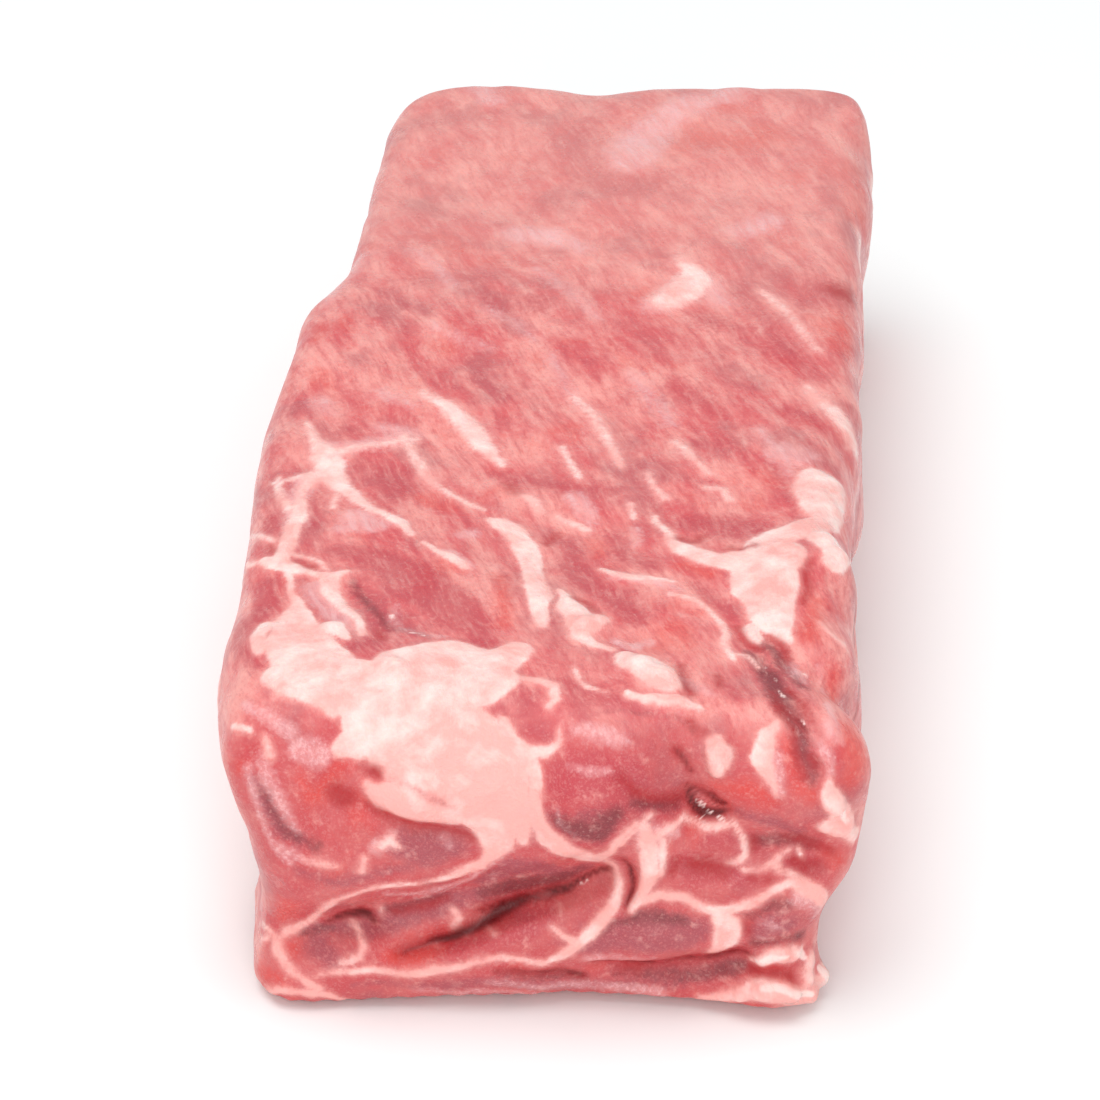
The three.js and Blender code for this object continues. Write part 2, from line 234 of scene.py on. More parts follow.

# Painted shade in blood red about the pits, undercuts and thin folds of the near end.
NEAR_BLOOD = {
    "lid_shade": [(-23, 16.8, 0.3), (-18.4, 17.8, 0.6), (-14.4, 19.4, 0.4)],
    "tongue_shade": [
        (-27, 37, 0.4), (-23, 34.4, 0.5), (-19, 33.2, 0.5), (-14, 33, 0.4), (-10, 32.2, 0.4),
    ],
    "tongue_line": [(-23, 43, -0.4), (-19.8, 41.5, -0.2), (-16.4, 40, 0.1), (-13.2, 38.8, -0.3)],
    "fat_hole": [(-26.4, 44.4, 0.8), (-25.5, 43.6, 0.6)],
    "deep_red": [(-32.4, 40, 0.8), (-31.2, 37.9, 1.6), (-29.8, 38.4, 1)],
    "slit_spot": [(16, 6.7, 0.7), (18.2, 6.6, 0.7)],
    "cluster_pit": [(26.4, 27.7, 0.9), (29, 27.8, 1.2), (31.2, 27.4, 0.8)],
    "cluster_left": [(23.5, 28.4, 0.5), (23.3, 26.6, 0.5)],
    "cluster_low": [(36.4, 26.4, 0.5), (38.6, 25.6, 0.5)],
    "cluster_right": [(43, 29.4, 0.8), (45, 28.6, 0.9), (47.6, 28.6, 0.5)],
    "cluster_high": [(36, 33.8, 0.5), (36.4, 32, 0.5)],
    "cluster_edge": [(41, 34.6, 0.2), (43.6, 33.9, 0.7), (47, 32.8, 0.6), (49.4, 31.6, 0.4)],
    "shoulder_spot": [(44.9, 49.8, 0.5), (45.1, 48.9, 0.4)],
    "shoulder_line": [(39, 60, 0.4), (41, 56, 0.2), (42.5, 51.5, 0.2), (43.6, 46.6, 0.3)],
    "fold_line": [(25.6, 56.2, 0.2), (26.8, 54.9, 0.3), (28.6, 54.4, 0.2)],
    "lens_spot": [(35.4, 17.4, 0.5), (35.8, 15.4, 0.3)],
    "knob_shade": [(36.4, 7.6, 0.5), (38.9, 7, 0.6), (41.1, 7, 0.7), (43.2, 7, 0.6)],
    "round_edge": [(14.6, 45, 0.1), (17, 42.6, 0.3), (20, 41.6, 0.4), (24, 41.4, 0.5)],
}

# Painted shade of the near end, in dark plum-brown: under the lid, in its folds and pits, along its foot
# and on the lower parts of its muscles.
NEAR_PAINTED_SHADE = {
    "lid_wedge": [
        (-8, 21, 0.9), (-4.6, 22, 1.7), (-0.6, 22.9, 2), (3, 23.8, 1.7), (6.4, 25.1, 1),
        (9, 26.2, 0.4),
    ],
    "lid_left": [(-24.6, 17, 0.5), (-18.4, 18.8, 0.8), (-14.4, 20.2, 0.5)],
    "band_streak": [(-6, 4.6, 0.3), (-2, 4.7, 0.5), (1.8, 4.8, 0.6), (9, 5, 0.5)],
    "band_right": [(14, 6, 0.2), (21, 5.8, 0.4), (28, 6.6, 0.9), (33, 7.6, 1.1), (35.4, 8, 0.8)],
    "lens_top": [(10.6, 14, 0.2), (15, 17, 0.6), (20, 17.8, 0.8), (25, 17, 0.6)],
    "right_lens": [(35.6, 19, 0.4), (38.5, 20.9, 0.6), (42.4, 21, 0.4)],
    "right_lens_foot": [(36.6, 13.4, 0.7), (41, 14.4, 0.6), (44.6, 15.4, 1)],
    "cluster_edge": [(36.4, 33.6, 0.8), (40, 34.2, 0.8), (43.4, 33.8, 1.2), (46.4, 33, 0.7)],
    "shoulder": [(41.2, 57, 0.9), (43, 53, 1.1), (44.6, 49, 1.1), (45, 46, 0.4)],
    "round_low": [(3.8, 37.2, 1), (6.8, 35.4, 1.9), (10.6, 35.4, 2.2), (13.4, 38, 1.3)],
    "round_right": [(16.8, 40.4, 0.7), (21, 40, 0.9), (24, 40.6, 0.6)],
    "lobe_dot": [(-36.6, 29.4, 0.3), (-35.4, 29, 0.5)],
    "left_fold": [(-43.7, 39.4, 0.3), (-42, 35.1, 0.6), (-40, 31.6, 0.8), (-38.2, 29.8, 0.4)],
    "left_low": [(-38, 11.4, 0.4), (-34, 12.2, 0.6)],
}

# Deeper-toned lean of the near end: the lower, shaded parts of its muscles.
NEAR_DEEP = {
    "round_low": [(3.6, 38, 2), (6.4, 36, 3.4), (10, 35.6, 3.8), (13.4, 38.4, 3)],
    "round_right": [(16, 39.6, 1.6), (20, 39.4, 1.8), (24, 40.6, 1.4)],
    "round_mid": [(4.6, 44, 3), (10, 45.4, 4), (16, 45, 3)],
    "cluster": [(23, 28.6, 1.8), (27.4, 27.4, 2.6), (32, 27.4, 2), (36.6, 26.2, 1.2)],
    "cluster_high": [(28, 33, 1.4), (33, 33, 1), (37, 32.6, 1.6)],
    "cluster_right": [(42, 29.6, 2), (46.4, 29, 2)],
    "lower_lean": [(-14, 9.4, 1.2), (-8, 11, 1.6), (-2, 14.4, 1.6), (3, 17.6, 1.2)],
    "lower_band": [(14, 6, 1), (22, 6.2, 1.3), (30, 6.8, 1.6), (36, 7.6, 1.2)],
    "islet": [(-1, 53.6, 1.2), (0.6, 53.2, 1.7), (2.2, 51.8, 1.2)],
    "root": [(-36, 44, 1), (-33.6, 42.6, 1.6), (-31, 46, 1.2)],
}

# Purple-brown muscle, as soft as bruises. The small round_core stroke is painted shade in the lower middle
# of the round muscle.
NEAR_PLUM = {
    "tongue_muscle": [(-21, 30, 2.6), (-17, 29.5, 3), (-12.5, 30, 2)],
    "lid_muscle": [
        (-38, 13, 1), (-34, 12.4, 1.6), (-28, 13.4, 2.2), (-22, 15.6, 2), (-16, 18, 1.8),
        (-9, 20.6, 1.8),
    ],
    "lid_right": [(-7.6, 23.6, 1.8), (-3.6, 26, 3), (0.6, 26.6, 2.4), (5, 25.8, 1.4), (9, 26.2, 0.6)],
    "lens": [(8, 10.6, 1.4), (13, 13, 2.6), (19, 14.6, 3.6), (24, 14.4, 3.4), (27.4, 15.6, 2.4)],
    "right_lens": [(37, 16, 1.8), (39.4, 17.6, 2.4), (42.6, 17.6, 1.6)],
    "floor_band": [
        (-30, 1.4, 0.2), (-16, 1.6, 0.7), (-10, 2.4, 1.2), (-2, 2.8, 1.4), (7, 2.8, 1.2), (16, 4, 0.8),
        (26, 5, 0.6),
    ],
    "left_skin": [(-45, 42, 1), (-43.5, 37, 1.6), (-41.5, 32, 1.6), (-38, 29.6, 1)],
    "lobe": [(-39, 24.6, 0.4), (-33, 22.4, 0.8), (-26, 24.6, 0.8), (-20, 26.4, 0.8)],
    "cluster_top": [(34, 38.6, 1), (39, 37.6, 1.6), (43, 35.6, 1.4)],
    "lower_left": [(-36, 8.6, 2), (-33, 5.8, 1.2)],
    "round_core": [(8, 38, 0.6), (11, 38.6, 0.6)],
}

NEAR_SCARLET = {
    "tongue_root": [(-37.4, 42.6, 1), (-35.6, 38.6, 1.6), (-33, 42, 1.6), (-31, 45.4, 1.2)],
    "pocket_left": [(-41.2, 9, 0.4), (-39.6, 7.6, 0.6)],
    "cleft_left": [(-23.6, 7.6, 1.2), (-21, 6.4, 1.4), (-17, 7.4, 1.2), (-15, 10.4, 0.4)],
    "cleft_glow": [(-17.6, 12, 0), (-13.4, 13.4, 0.2)],
    "ledge_slot": [(38.9, 7, 0.2), (43, 7.2, 0.4)],
    "foot_band": [(32, 6.2, 0.2), (36, 6.6, 0.2)],
    "shoulder": [(41.6, 52.6, 1), (43.4, 45.4, 1.2), (46, 43.4, 1.2)],
    "cluster_brow": [(30, 44, 1), (34.9, 43, 1.6), (38.7, 42, 1.2)],
    "right_lobe": [(50.8, 55, 2), (52.4, 50.8, 2.4), (51.4, 46.6, 1.6)],
    "right_lobe_foot": [(48.8, 31, 0.8), (50.8, 30, 1.2)],
    "left_foot": [(-41, 17.4, 1.4), (-42, 14.6, 0.8)],
    "foot_corner": [(-45.4, 3, 1.2), (-42, 1, 0.4)],
}

# Painted glints in the fat's cream colour, where wet spots and knobs of fat catch the light.
NEAR_PAINTED_GLINTS = {
    "cavity_a": [(26.8, 40.8, 0.4), (27.6, 39.8, 0.5)],
    "cavity_b": [(28.4, 38.4, 0.3), (28.9, 38.1, 0.3)],
    "cavity_c": [(29.8, 37.2, 0.3), (31.2, 36.6, 0.4)],
    "cavity_d": [(26.6, 37.4, 0.2), (27.2, 36.8, 0.3)],
    "cleft_a": [(1.4, 19.2, 0.3), (2.4, 19.4, 0.3)],
    "cleft_b": [(8.2, 22.8, 0.2), (9, 23.1, 0.2)],
    "slit": [(22.2, 7, 0.2), (22.5, 6.7, 0.2)],
    "corner": [(44, 31, 0.25), (44.3, 30.6, 0.25)],
    "knob_left": [(37.4, 10.2, 0.5), (39.4, 10.8, 0.9), (41.4, 11.4, 0.7)],
    "knob_right": [(42.6, 12, 0.6), (44.2, 12.2, 0.8), (45.2, 11, 0.4)],
    "knob_side": [(47, 8.6, 0.7), (47.6, 6.6, 0.6)],
    "ledge": [(38.6, 4.4, 0.3), (42, 4.6, 0.6), (45.4, 4.2, 0.5)],
    "corner_light": [(49.4, 40.6, 0.5), (50.4, 38.8, 0.6)],
}

TOP_FAT = {
    "comma": [
        (-12.5, -64.5, 0.7), (-10, -66, 1.7), (-7.5, -68.5, 2.3), (-6, -72, 2.4), (-5, -76, 2),
        (-3.6, -80, 1.8), (-2.8, -85, 1.8), (-1.8, -90, 1.9), (-1.2, -95, 1.7), (-1, -98.5, 1),
    ],
    "crumb": [(1, -87.5, 0.4), (3, -91, 1.4), (4.5, -95, 2.2), (6.5, -99, 3), (9, -97.4, 1.7)],
    "crumb_tail": [(6, -102, 1.7), (8.4, -104.6, 1), (11.4, -106, 0.8)],
    "blob": [(13.8, -108.4, 1.8), (16.4, -111, 3.4), (19.4, -113.4, 3.6), (21.6, -117, 2.2)],
    "blob_foot": [(15, -120.4, 0.6), (18, -121.8, 1), (23, -122, 1.3), (26.6, -123, 0.7)],
    "bay_streak": [
        (8, -80, 0.4), (10, -81, 0.8), (13, -82.5, 0.9), (17, -82.5, 0.7), (20.5, -83.5, 0.6),
    ],
    "fascia": [
        (20, -88, 0.4), (24, -89.5, 0.5), (27, -92.5, 0.5), (29, -96, 0.5), (30, -100, 0.6),
        (30.5, -104, 0.6), (31.5, -108, 0.4),
    ],
    "fascia_twig": [(31.5, -106.5, 0.3), (34, -107, 0.4), (36, -109.5, 0.4)],
    "branch_left": [
        (16.5, -60, 0.4), (17.5, -63, 0.5), (19, -66, 0.7), (20, -69, 0.9), (22, -72, 1.7),
        (25, -74, 2.1), (29, -75.5, 2.5), (33, -75, 4),
    ],
    "branch_up": [(35, -70, 3.3), (38.5, -66.5, 3.3), (42, -63.5, 3.2), (46, -61, 2.4), (48, -59, 1.4)],
    "branch_knob": [(46, -67.6, 3), (48, -72, 2.4), (47.5, -76, 2)],
    "trunk": [
        (38, -73, 5), (36, -79, 6), (36, -85, 5.3), (37, -90, 4.3), (37.5, -94, 3.6), (39.6, -98, 1.6),
        (41, -102, 0.4),
    ],
    "trunk_foot": [(34, -98.4, 1.6), (35.4, -101, 1.3)],
    "upper_patch": [(45, -46.4, 4), (45, -51, 4.6), (45.5, -56, 3.8), (46, -60, 2.8)],
    "right_rim": [
        (42.5, -10, 0.5), (44, -14, 0.9), (47, -19, 2), (49, -24, 2.3), (50.5, -30, 1.8),
        (51, -35, 0.9),
    ],
    "net_main": [
        (-49, -31, 0.4), (-48, -35, 0.6), (-46, -39, 1), (-44, -43, 2.3), (-43, -47, 2.6),
        (-41.5, -51, 2.4), (-39.5, -55, 1.6), (-37, -58.5, 1), (-34, -61.5, 0.8), (-31, -64, 0.8),
        (-28, -67, 1.1), (-25.5, -70, 0.7),
    ],
    "net_tail": [(-23, -73, 0.4), (-20, -77, 0.7), (-17, -80, 1), (-15, -82, 0.6)],
    "net_band": [
        (-46, -52, 0.7), (-46.5, -57, 0.9), (-46, -62, 1.3), (-46.5, -70, 1.4), (-46.6, -77, 1.3),
        (-47, -81, 1.9),
    ],
    "net_outer": [(-51.5, -52, 0.4), (-51, -55, 0.5), (-49.5, -59, 0.6), (-48, -63, 0.8)],
    "net_inner": [
        (-30.5, -36, 0.8), (-29, -41, 0.7), (-27, -45, 0.6), (-25, -49, 0.5), (-23, -52.5, 0.6),
        (-20, -56, 0.5),
    ],
    "net_thread": [(-20, -56, 0.4), (-16.5, -59, 0.4), (-14, -61, 0.3)],
    "net_link": [(-44, -48, 1.3), (-46.2, -53, 1.1), (-46.6, -58, 0.8)],
    "net_ray": [(-43, -44, 0.8), (-38.8, -40, 0.5), (-33, -37.8, 0.4), (-28.6, -36.4, 0.3)],
    "net_ray_left": [(-45, -50, 0.7), (-49, -52, 0.4), (-52, -53.6, 0.4)],
    "net_twig": [(-40.6, -57, 0.4), (-40, -62, 0.4)],
    "knuckle": [
        (-50, -81.4, 0.8), (-47.5, -81.8, 2), (-45, -83, 1.6), (-42, -84.5, 0.7), (-38.5, -86, 1.3),
        (-35.4, -84.8, 0.8),
    ],
    "knuckle_leg": [(-45, -84, 0.8), (-44, -88, 0.5), (-43.5, -92, 0.6), (-42, -95, 1.2)],
    "knuckle_arm": [
        (-38, -87, 1.7), (-37, -91, 1.3), (-35, -95, 1), (-32, -100, 0.8), (-30, -104, 0.6),
    ],
    "knuckle_link": [(-55, -73.5, 0.5), (-52, -73.4, 0.5), (-49, -74.5, 0.5)],
    "knuckle_hook": [(-45, -78, 0.5), (-42, -79.5, 0.4), (-40, -82, 0.4), (-38.5, -84.5, 0.3)],
    "knuckle_edge": [(-54, -83.4, 0.5), (-51, -82.4, 0.5)],
    "streak": [
        (-29, -18, 0.6), (-26.5, -20, 1.1), (-23.5, -23, 1.6), (-20.5, -28, 2.2), (-18, -33, 2.2),
        (-15.5, -38, 2), (-13.5, -41.5, 1.2), (-12, -44, 0.5),
    ],
    "long_streak": [
        (-1, -17, 0.3), (2, -22, 0.5), (4, -27, 0.9), (5.5, -32, 0.7), (7.5, -38, 0.4),
        (9.5, -43, 0.3),
    ],
    "right_streak": [(18.5, -33.5, 0.5), (20.5, -37, 0.7), (23, -41, 0.6), (25, -45, 0.4)],
    "dash_a": [(-2, -37, 0.3), (-0.5, -41, 0.4), (1, -45, 0.4), (2, -48, 0.3)],
    "dash_b": [(-8.5, -54, 0.4), (-6.5, -55.5, 0.8), (-5, -58, 0.7), (-4, -61, 0.4)],
    "dash_c": [(14, -45.5, 0.3), (16, -50.5, 0.4), (18, -54, 0.5)],
    "dash_d": [(12, -57, 0.4), (12.6, -61, 0.5)],
    "dash_e": [(25, -50, 0.3), (28, -50.4, 0.4), (29.5, -54, 0.4)],
    "dash_f": [(-1, -62, 0.4), (2, -64, 0.5), (4.5, -66, 0.5)],
    "cap_back": [
        (-42, -96, 1.2), (-42, -101, 3.4), (-41, -107, 5), (-38, -113, 6), (-33, -119, 6),
        (-27, -122, 6),
    ],
    "cap_front": [(-20, -117, 8), (-14, -112, 5.6), (-8, -113, 4.4), (-4, -108, 2.6)],
    "cap_flank": [(-46.4, -103, 1.4), (-47.6, -107, 1.2), (-45.6, -110.6, 1.4)],
    "cap_ridge": [(-36, -103, 2.3), (-33, -105.4, 1.2)],
    "islet_ring": [
        (-3, -117, 0.6), (0, -117, 0.8), (3, -118.4, 0.7), (3.6, -122, 0.7), (2.6, -125, 0.5),
    ],
    "islet_streak": [(5, -112, 0.3), (6.5, -115, 0.5), (8.5, -118, 0.5), (11, -119.5, 0.3)],
    "strip_streak": [(45.5, -95, 0.4), (47, -98, 0.5), (49, -101.5, 0.5), (50, -104, 0.3)],
    "far_knob_core": [(15.6, 27, 2.6), (18, 33, 2.2)],
    "far_knob": [(14.5, 23.5, 3), (18, 27, 2.8), (20, 32, 2.6), (19, 38, 2), (16.5, 43, 1.2)],
    "far_ridge": [(33, 30, 0.4), (38, 20, 0.6), (41, 12, 0.6), (44, 5, 0.4)],
}

# Silvery film of the top. Its glint strokes are painted glints in the film's colour.
TOP_FILM = {
    "net_sheet": [
        (-45, -40, 1.6), (-40, -40, 1.8), (-36, -38, 1.8), (-32, -36.4, 2), (-30, -34, 1.6),
        (-35, -32, 1.4),
    ],
    "net_sheet_low": [(-36, -65, 3), (-33, -68, 2.6), (-29, -66, 1.6), (-38, -69.4, 1.4)],
    "net_left": [(-46.6, -52, 2), (-47, -60, 2), (-46.4, -68, 2)],
    "net_edge": [(-55, -68, 0.6), (-54.6, -72, 0.8), (-53, -76, 0.5)],
    "cap_haze": [(-40, -90, 2.2), (-36, -98, 2), (-33, -102, 1.6)],
    "muscle_glint": [(-16.6, -70.6, 1.5), (-14.4, -69, 0.9)],
    "muscle_sheet": [(-18.4, -77, 1.2), (-16.6, -79.6, 1.3), (-14.6, -81.4, 0.8)],
    "muscle_line": [
        (-25.6, -95, 0.3), (-25.6, -99, 0.4), (-24, -103, 0.5), (-19, -105, 0.7), (-16, -104.6, 0.4),
    ],
    "pale_sheet": [(2, -55, 1.8), (4, -60, 1.6), (5, -63.4, 1.2)],
    "pale_bar": [(13.4, -65, 0.8), (14.2, -71, 0.8)],
    "faint_a": [(-6.5, -1, 0.8), (-5, -6, 1), (-3.5, -11, 0.7), (-1, -17, 0.6)],
    "faint_b": [(9, -5, 0.8), (11, -10, 1), (13, -16, 1.1), (15.5, -20, 1.2), (18, -26, 0.8)],
    "faint_c": [(34, -28, 1), (36.5, -34, 1), (39, -40, 0.8), (40, -44, 0.6)],
    "faint_d": [(-37, -18, 0.8), (-33, -20, 1), (-30, -23, 0.7)],
    "faint_e": [(-48, -22, 1.6), (-46, -26, 1)],
    "right_haze": [(38, -36, 3), (42, -38, 2.6)],
    "blob_haze": [(12.6, -103, 0.9), (15, -105, 1.2), (17.4, -103, 0.8)],
    "blob_glint": [(24.6, -114.8, 1), (27, -117.6, 1), (28.4, -118.8, 0.6)],
    "channel_glint": [(41, -108, 0.8), (42.4, -111.4, 1.1), (44.4, -113.6, 0.6)],
    "channel_fleck": [(46, -108.6, 0.6), (46.6, -111.4, 0.5)],
    "channel_line": [(46, -111, 0.25), (48, -115, 0.3), (50, -119, 0.25)],
    "channel_sheet": [(47, -121, 0.9), (48, -126, 1.1), (48.6, -131, 0.7)],
    "bay_haze": [(11, -82, 1.3), (18, -83.6, 1.6), (21, -86, 0.9)],
    "far_oval": [(4, 88, 4.4), (4.6, 96, 6), (6, 104, 5), (11, 114, 4), (16, 121, 4)],
    "far_knob_halo": [(12, 21, 2.4), (17, 27, 3.4), (21, 33, 3.4), (25, 24, 2)],
    "far_bank": [(22, 124, 3.4), (27, 128, 2.4)],
    "far_left": [(-31, 124, 2.6), (-28, 118, 2)],
    "far_middle": [(-18, 52, 3), (-10, 51, 3.4), (-4, 46, 2)],
    "far_line_a": [(-12, 36, 0.8), (-7, 30, 0.9), (-3, 24, 0.8), (1, 16, 0.7)],
    "far_line_b": [(-37, 43, 0.8), (-32, 36, 0.8), (-28, 28, 0.6)],
    "far_line_c": [(-30, 11, 0.8), (-25, 6, 1), (-19, 2, 0.8)],
    "far_line_d": [(-20, 18, 0.8), (-14, 12, 0.8), (-10, 6, 0.6)],
    "far_rim": [(-47, 40, 0.8), (-47.4, 33, 1.1), (-50, 26, 0.9), (-52, 17, 0.7)],
    "far_haze": [(33, 62, 3), (27, 56, 2.4)],
}

# Painted shade in the top's channel.
TOP_SEAM_SHADE = {
    "channel": [
        (38.4, -117, -0.2), (39.6, -120.4, 0.1), (42, -124, 0.3), (44, -128, 0.4), (46, -132, 0.1),
    ],
}

# Dark blood-red marks of the top: painted shade in its grooves, cuts and notches, and darker red spots.
TOP_BLOOD = {
    "fork_cut": [(44, -74.6, 0.25), (43.8, -76.6, 0.3)],
    "trunk_edge": [(43.4, -79, 0.3), (42.9, -84, 0.5), (42.6, -89, 0.3)],
    "tail_dark": [(37.6, -99.4, 0.3), (39.4, -102.4, 0.6), (40.4, -105.4, 0.5), (41, -107.6, 0.2)],
    "groove": [(32, -97.6, 0.3), (33, -101.4, 0.4), (35.6, -104.4, 0.4)],
    "channel_twin": [(41, -116, 0.3), (43, -120, 0.4), (44.6, -124, 0.4), (46.4, -129, 0.3)],
    "blob_shade": [(23.8, -110, 0.3), (24.4, -114, 0.4), (25.2, -118.6, 0.4)],
    "blob_right": [(29, -113, 0.4), (29.6, -116, 0.3)],
    "bay": [(21, -67.4, 0.4), (23.4, -68.6, 0.5), (25, -66.4, 0.3)],
    "bay_right": [(29.4, -70.4, 0.3), (31.6, -71.2, 0.4), (34, -69.4, 0.4)],
    "knuckle_dot": [(-43.4, -80.6, 0.3), (-41.6, -82.6, 0.5)],
    "band_dot": [(-49.6, -76.4, 0.3), (-48.8, -77.8, 0.4)],
    "cap_notch": [(-27.4, -103, 0.4), (-26.6, -105.6, 0.4)],
    "crumb_edge": [(4, -90, 0.25), (6.6, -91, 0.3), (8, -93.6, 0.3)],
    "comma_edge": [(0.2, -68, 0.3), (-1.6, -70.8, 0.3)],
    "mid_dot": [(-9.6, -51.6, 0.3), (-8.6, -53.8, 0.4)],
    "far_pit": [(47, 31, 1.4), (50, 29, 1.8)],
}

# Deeper-toned lean, soft at its edges: the redder muscles and the shaded grain.
TOP_DEEP = {
    "left_muscle": [(-38, -76, 2), (-30, -80, 3.6), (-22, -88, 5.4), (-16, -95, 5.4), (-11, -101, 3)],
    "muscle_band": [
        (-33, -88, 1), (-32, -92, 1.3), (-29.5, -96, 1.3), (-27.5, -100, 1.3), (-26.5, -104, 1),
    ],
    "net_field": [(-33, -48, 3), (-30, -53, 4), (-31, -57, 2)],
    "net_dot": [(-45.6, -32.6, 1.1), (-44, -36, 1.4), (-42, -33.4, 1)],
    "net_dot_low": [(-37, -46.6, 1.3), (-48, -48.6, 1)],
    "band_strip": [(-43.8, -54, 0.7), (-43.4, -60, 0.9), (-43, -68, 0.9)],
    "band_outer": [(-50.6, -66, 1.8), (-50.4, -71, 1.3)],
    "knuckle_strip": [(-48, -88, 2), (-47.6, -95, 2.8), (-48.4, -101, 1.8)],
    "knuckle_slot": [(-42.4, -87, 0.8), (-41, -91, 1.2), (-38.6, -96, 1.3), (-37, -99.6, 0.8)],
    "cap_streak": [(-50, -110, 0.8), (-48, -113.4, 1.3), (-46, -116.6, 1.1)],
    "cap_red": [(-31, -108.6, 1.6), (-28.6, -107.4, 1.8)],
    "cap_red_right": [(-10, -105.4, 2.6), (-9, -108.4, 1.2)],
    "islet": [(0, -122, 1.4), (-1, -126, 1.4)],
    "islet_band": [(5, -118, 1.2), (7, -123, 2), (9, -128, 1.6)],
    "brow": [(4, -116, 0.8), (8, -119, 1.8), (12, -122.4, 2.2), (17, -124.6, 1.4)],
    "bay_field": [(22, -62, 2.4), (29, -63, 4), (33, -64, 4)],
    "grain_a": [(2, -70, 1.6), (3, -77, 2), (5, -84, 2.6), (12, -89, 2.6), (15, -96, 2.6)],
    "grain_b": [(10, -68, 1.4), (12, -75, 1.8), (17, -78, 1.6)],
    "grain_c": [(24, -84, 1), (28, -89, 1.4), (31.6, -94, 1)],
    "grain_d": [(35, -108, 1), (38, -113, 1.3), (41, -118, 1.2)],
    "grain_e": [(17, -9, 0.8), (20, -13, 1.3), (22.5, -17, 1.3), (25, -22, 0.9)],
    "grain_f": [(36, -38, 0.7), (39, -48, 0.7), (40, -53, 0.6)],
    "grain_g": [(27.6, -31, 1.1), (30, -34, 1.1)],
    "grain_h": [(38, -19, 1.3), (42.6, -21, 1.6), (45, -25, 1)],
    "grain_i": [(7, -31, 0.6), (9, -38, 0.7), (11, -45, 0.6)],
    "grain_j": [(-31, -31, 0.8), (-34, -29.6, 0.6)],
    "grain_k": [(-13, -47, 1.2), (-8, -50, 1.6), (0, -51, 2), (8, -52, 1.6)],
    "far_dark": [
        (29, 32, 1.6), (30, 25, 1.3), (33, 18, 1.2), (36, 10, 1.8), (39, 3, 1.8), (43, -6, 1.2),
    ],
    "far_field": [(38, 34, 3.4), (45, 31, 5), (42, 25, 3)],
    "far_swirl": [(-6, 108, 3), (-8, 96, 4), (-4, 82, 3.4), (3, 76, 3.4), (11, 80, 2.6)],
    "far_left": [(-38, 116, 1.4), (-37, 108, 2)],
    "far_spot_a": [(-12, 68, 2.4)],
    "far_spot_b": [(-34, 61, 2.6)],
    "far_spot_c": [(-9, 44, 1.6)],
    "far_spot_d": [(-11, 21, 3.4)],
    "far_spot_e": [(-33, 31, 3), (-20, 33, 2.6)],
    "far_spot_f": [(22, 17, 2), (27, 14, 1.8)],
    "far_corner": [(46, 126, 2), (43, 119, 2)],
}

# Painted shade of the top, in dark plum-brown, in its channel, folds and hollows.
TOP_PAINTED_SHADE = {
    "channel_bed": [
        (34, -105.7, 0.8), (37.4, -111, 1.5), (39.4, -117, 1.8), (41.9, -125, 1.6), (43.9, -132, 1.2),
    ],
    "channel_high": [(34, -99, 0.6), (37, -103, 0.9), (40.6, -109, 1), (43.6, -115, 0.6)],
    "blob_right": [(23.6, -114.4, 0.4), (25, -117, 0.6)],
    "muscle_edge": [
        (-34, -88, 0.1), (-31, -94, 0.4), (-28, -98.6, 0.5), (-25, -102.6, 0.4), (-19, -105.4, 0.1),
    ],
    "arc_foot": [(9, -125.7, -0.9), (16, -126.1, -0.5), (23, -125.6, -0.4), (26, -129, 0)],
}

# Painted glints of the top, in the fat's cream colour.
TOP_PAINTED_GLINTS = {
    "blob": [(14.8, -119.6, 0.4), (15.2, -120.6, 0.4)],
    "muscle_a": [(-30.9, -92.5, 0.1), (-29.6, -94, 0.2)],
    "muscle_b": [(-25.8, -98.2, 0.3), (-25.2, -99.6, 0.2)],
    "muscle_c": [(-22.6, -104.2, 0.2), (-20, -105, 0.3)],
    "shoulder_a": [(43.4, -110.4, 0.4), (44, -111, 0.4)],
    "shoulder_b": [(46.2, -111.4, 0.5), (46.8, -112.2, 0.4)],
    "channel_a": [(38.6, -112.6, 0.1), (39, -113.8, 0.2)],
    "channel_b": [(39.6, -116.4, 0.2), (40.2, -118, 0.3)],
    "channel_c": [(41.2, -121.4, 0.2), (42, -122.8, 0.3)],
    "channel_d": [(43.4, -125, 0.2), (43.8, -126.2, 0.2)],
    "channel_e": [(37, -108.6, 0.1), (37.8, -109.6, 0.2)],
}

TOP_SCARLET = {
    "far_bed": [(14.6, 97, 4), (18, 103, 5), (24, 100, 5.6), (32, 104, 4.4)],
    "far_right": [(49, 20, 2.4), (48, 10, 2.4), (50, 2, 1.8)],
    "far_right_high": [(51, 66, 1.6), (51, 88, 1.6)],
    "right_rim": [(49.6, -55, 0.4), (49, -60, 0.7), (49, -65, 0.5)],
    "comma_side": [(-9, -84, 1), (-8, -92, 1.3), (-7, -99, 1)],
    "fork_side": [(22, -77, 1), (27, -80, 0.8)],
    "corner_lobe": [(49, -111, 1.2), (51.6, -128, 1.6)],
    "strip": [(45, -88, 1.4), (44, -100, 1.6)],
}

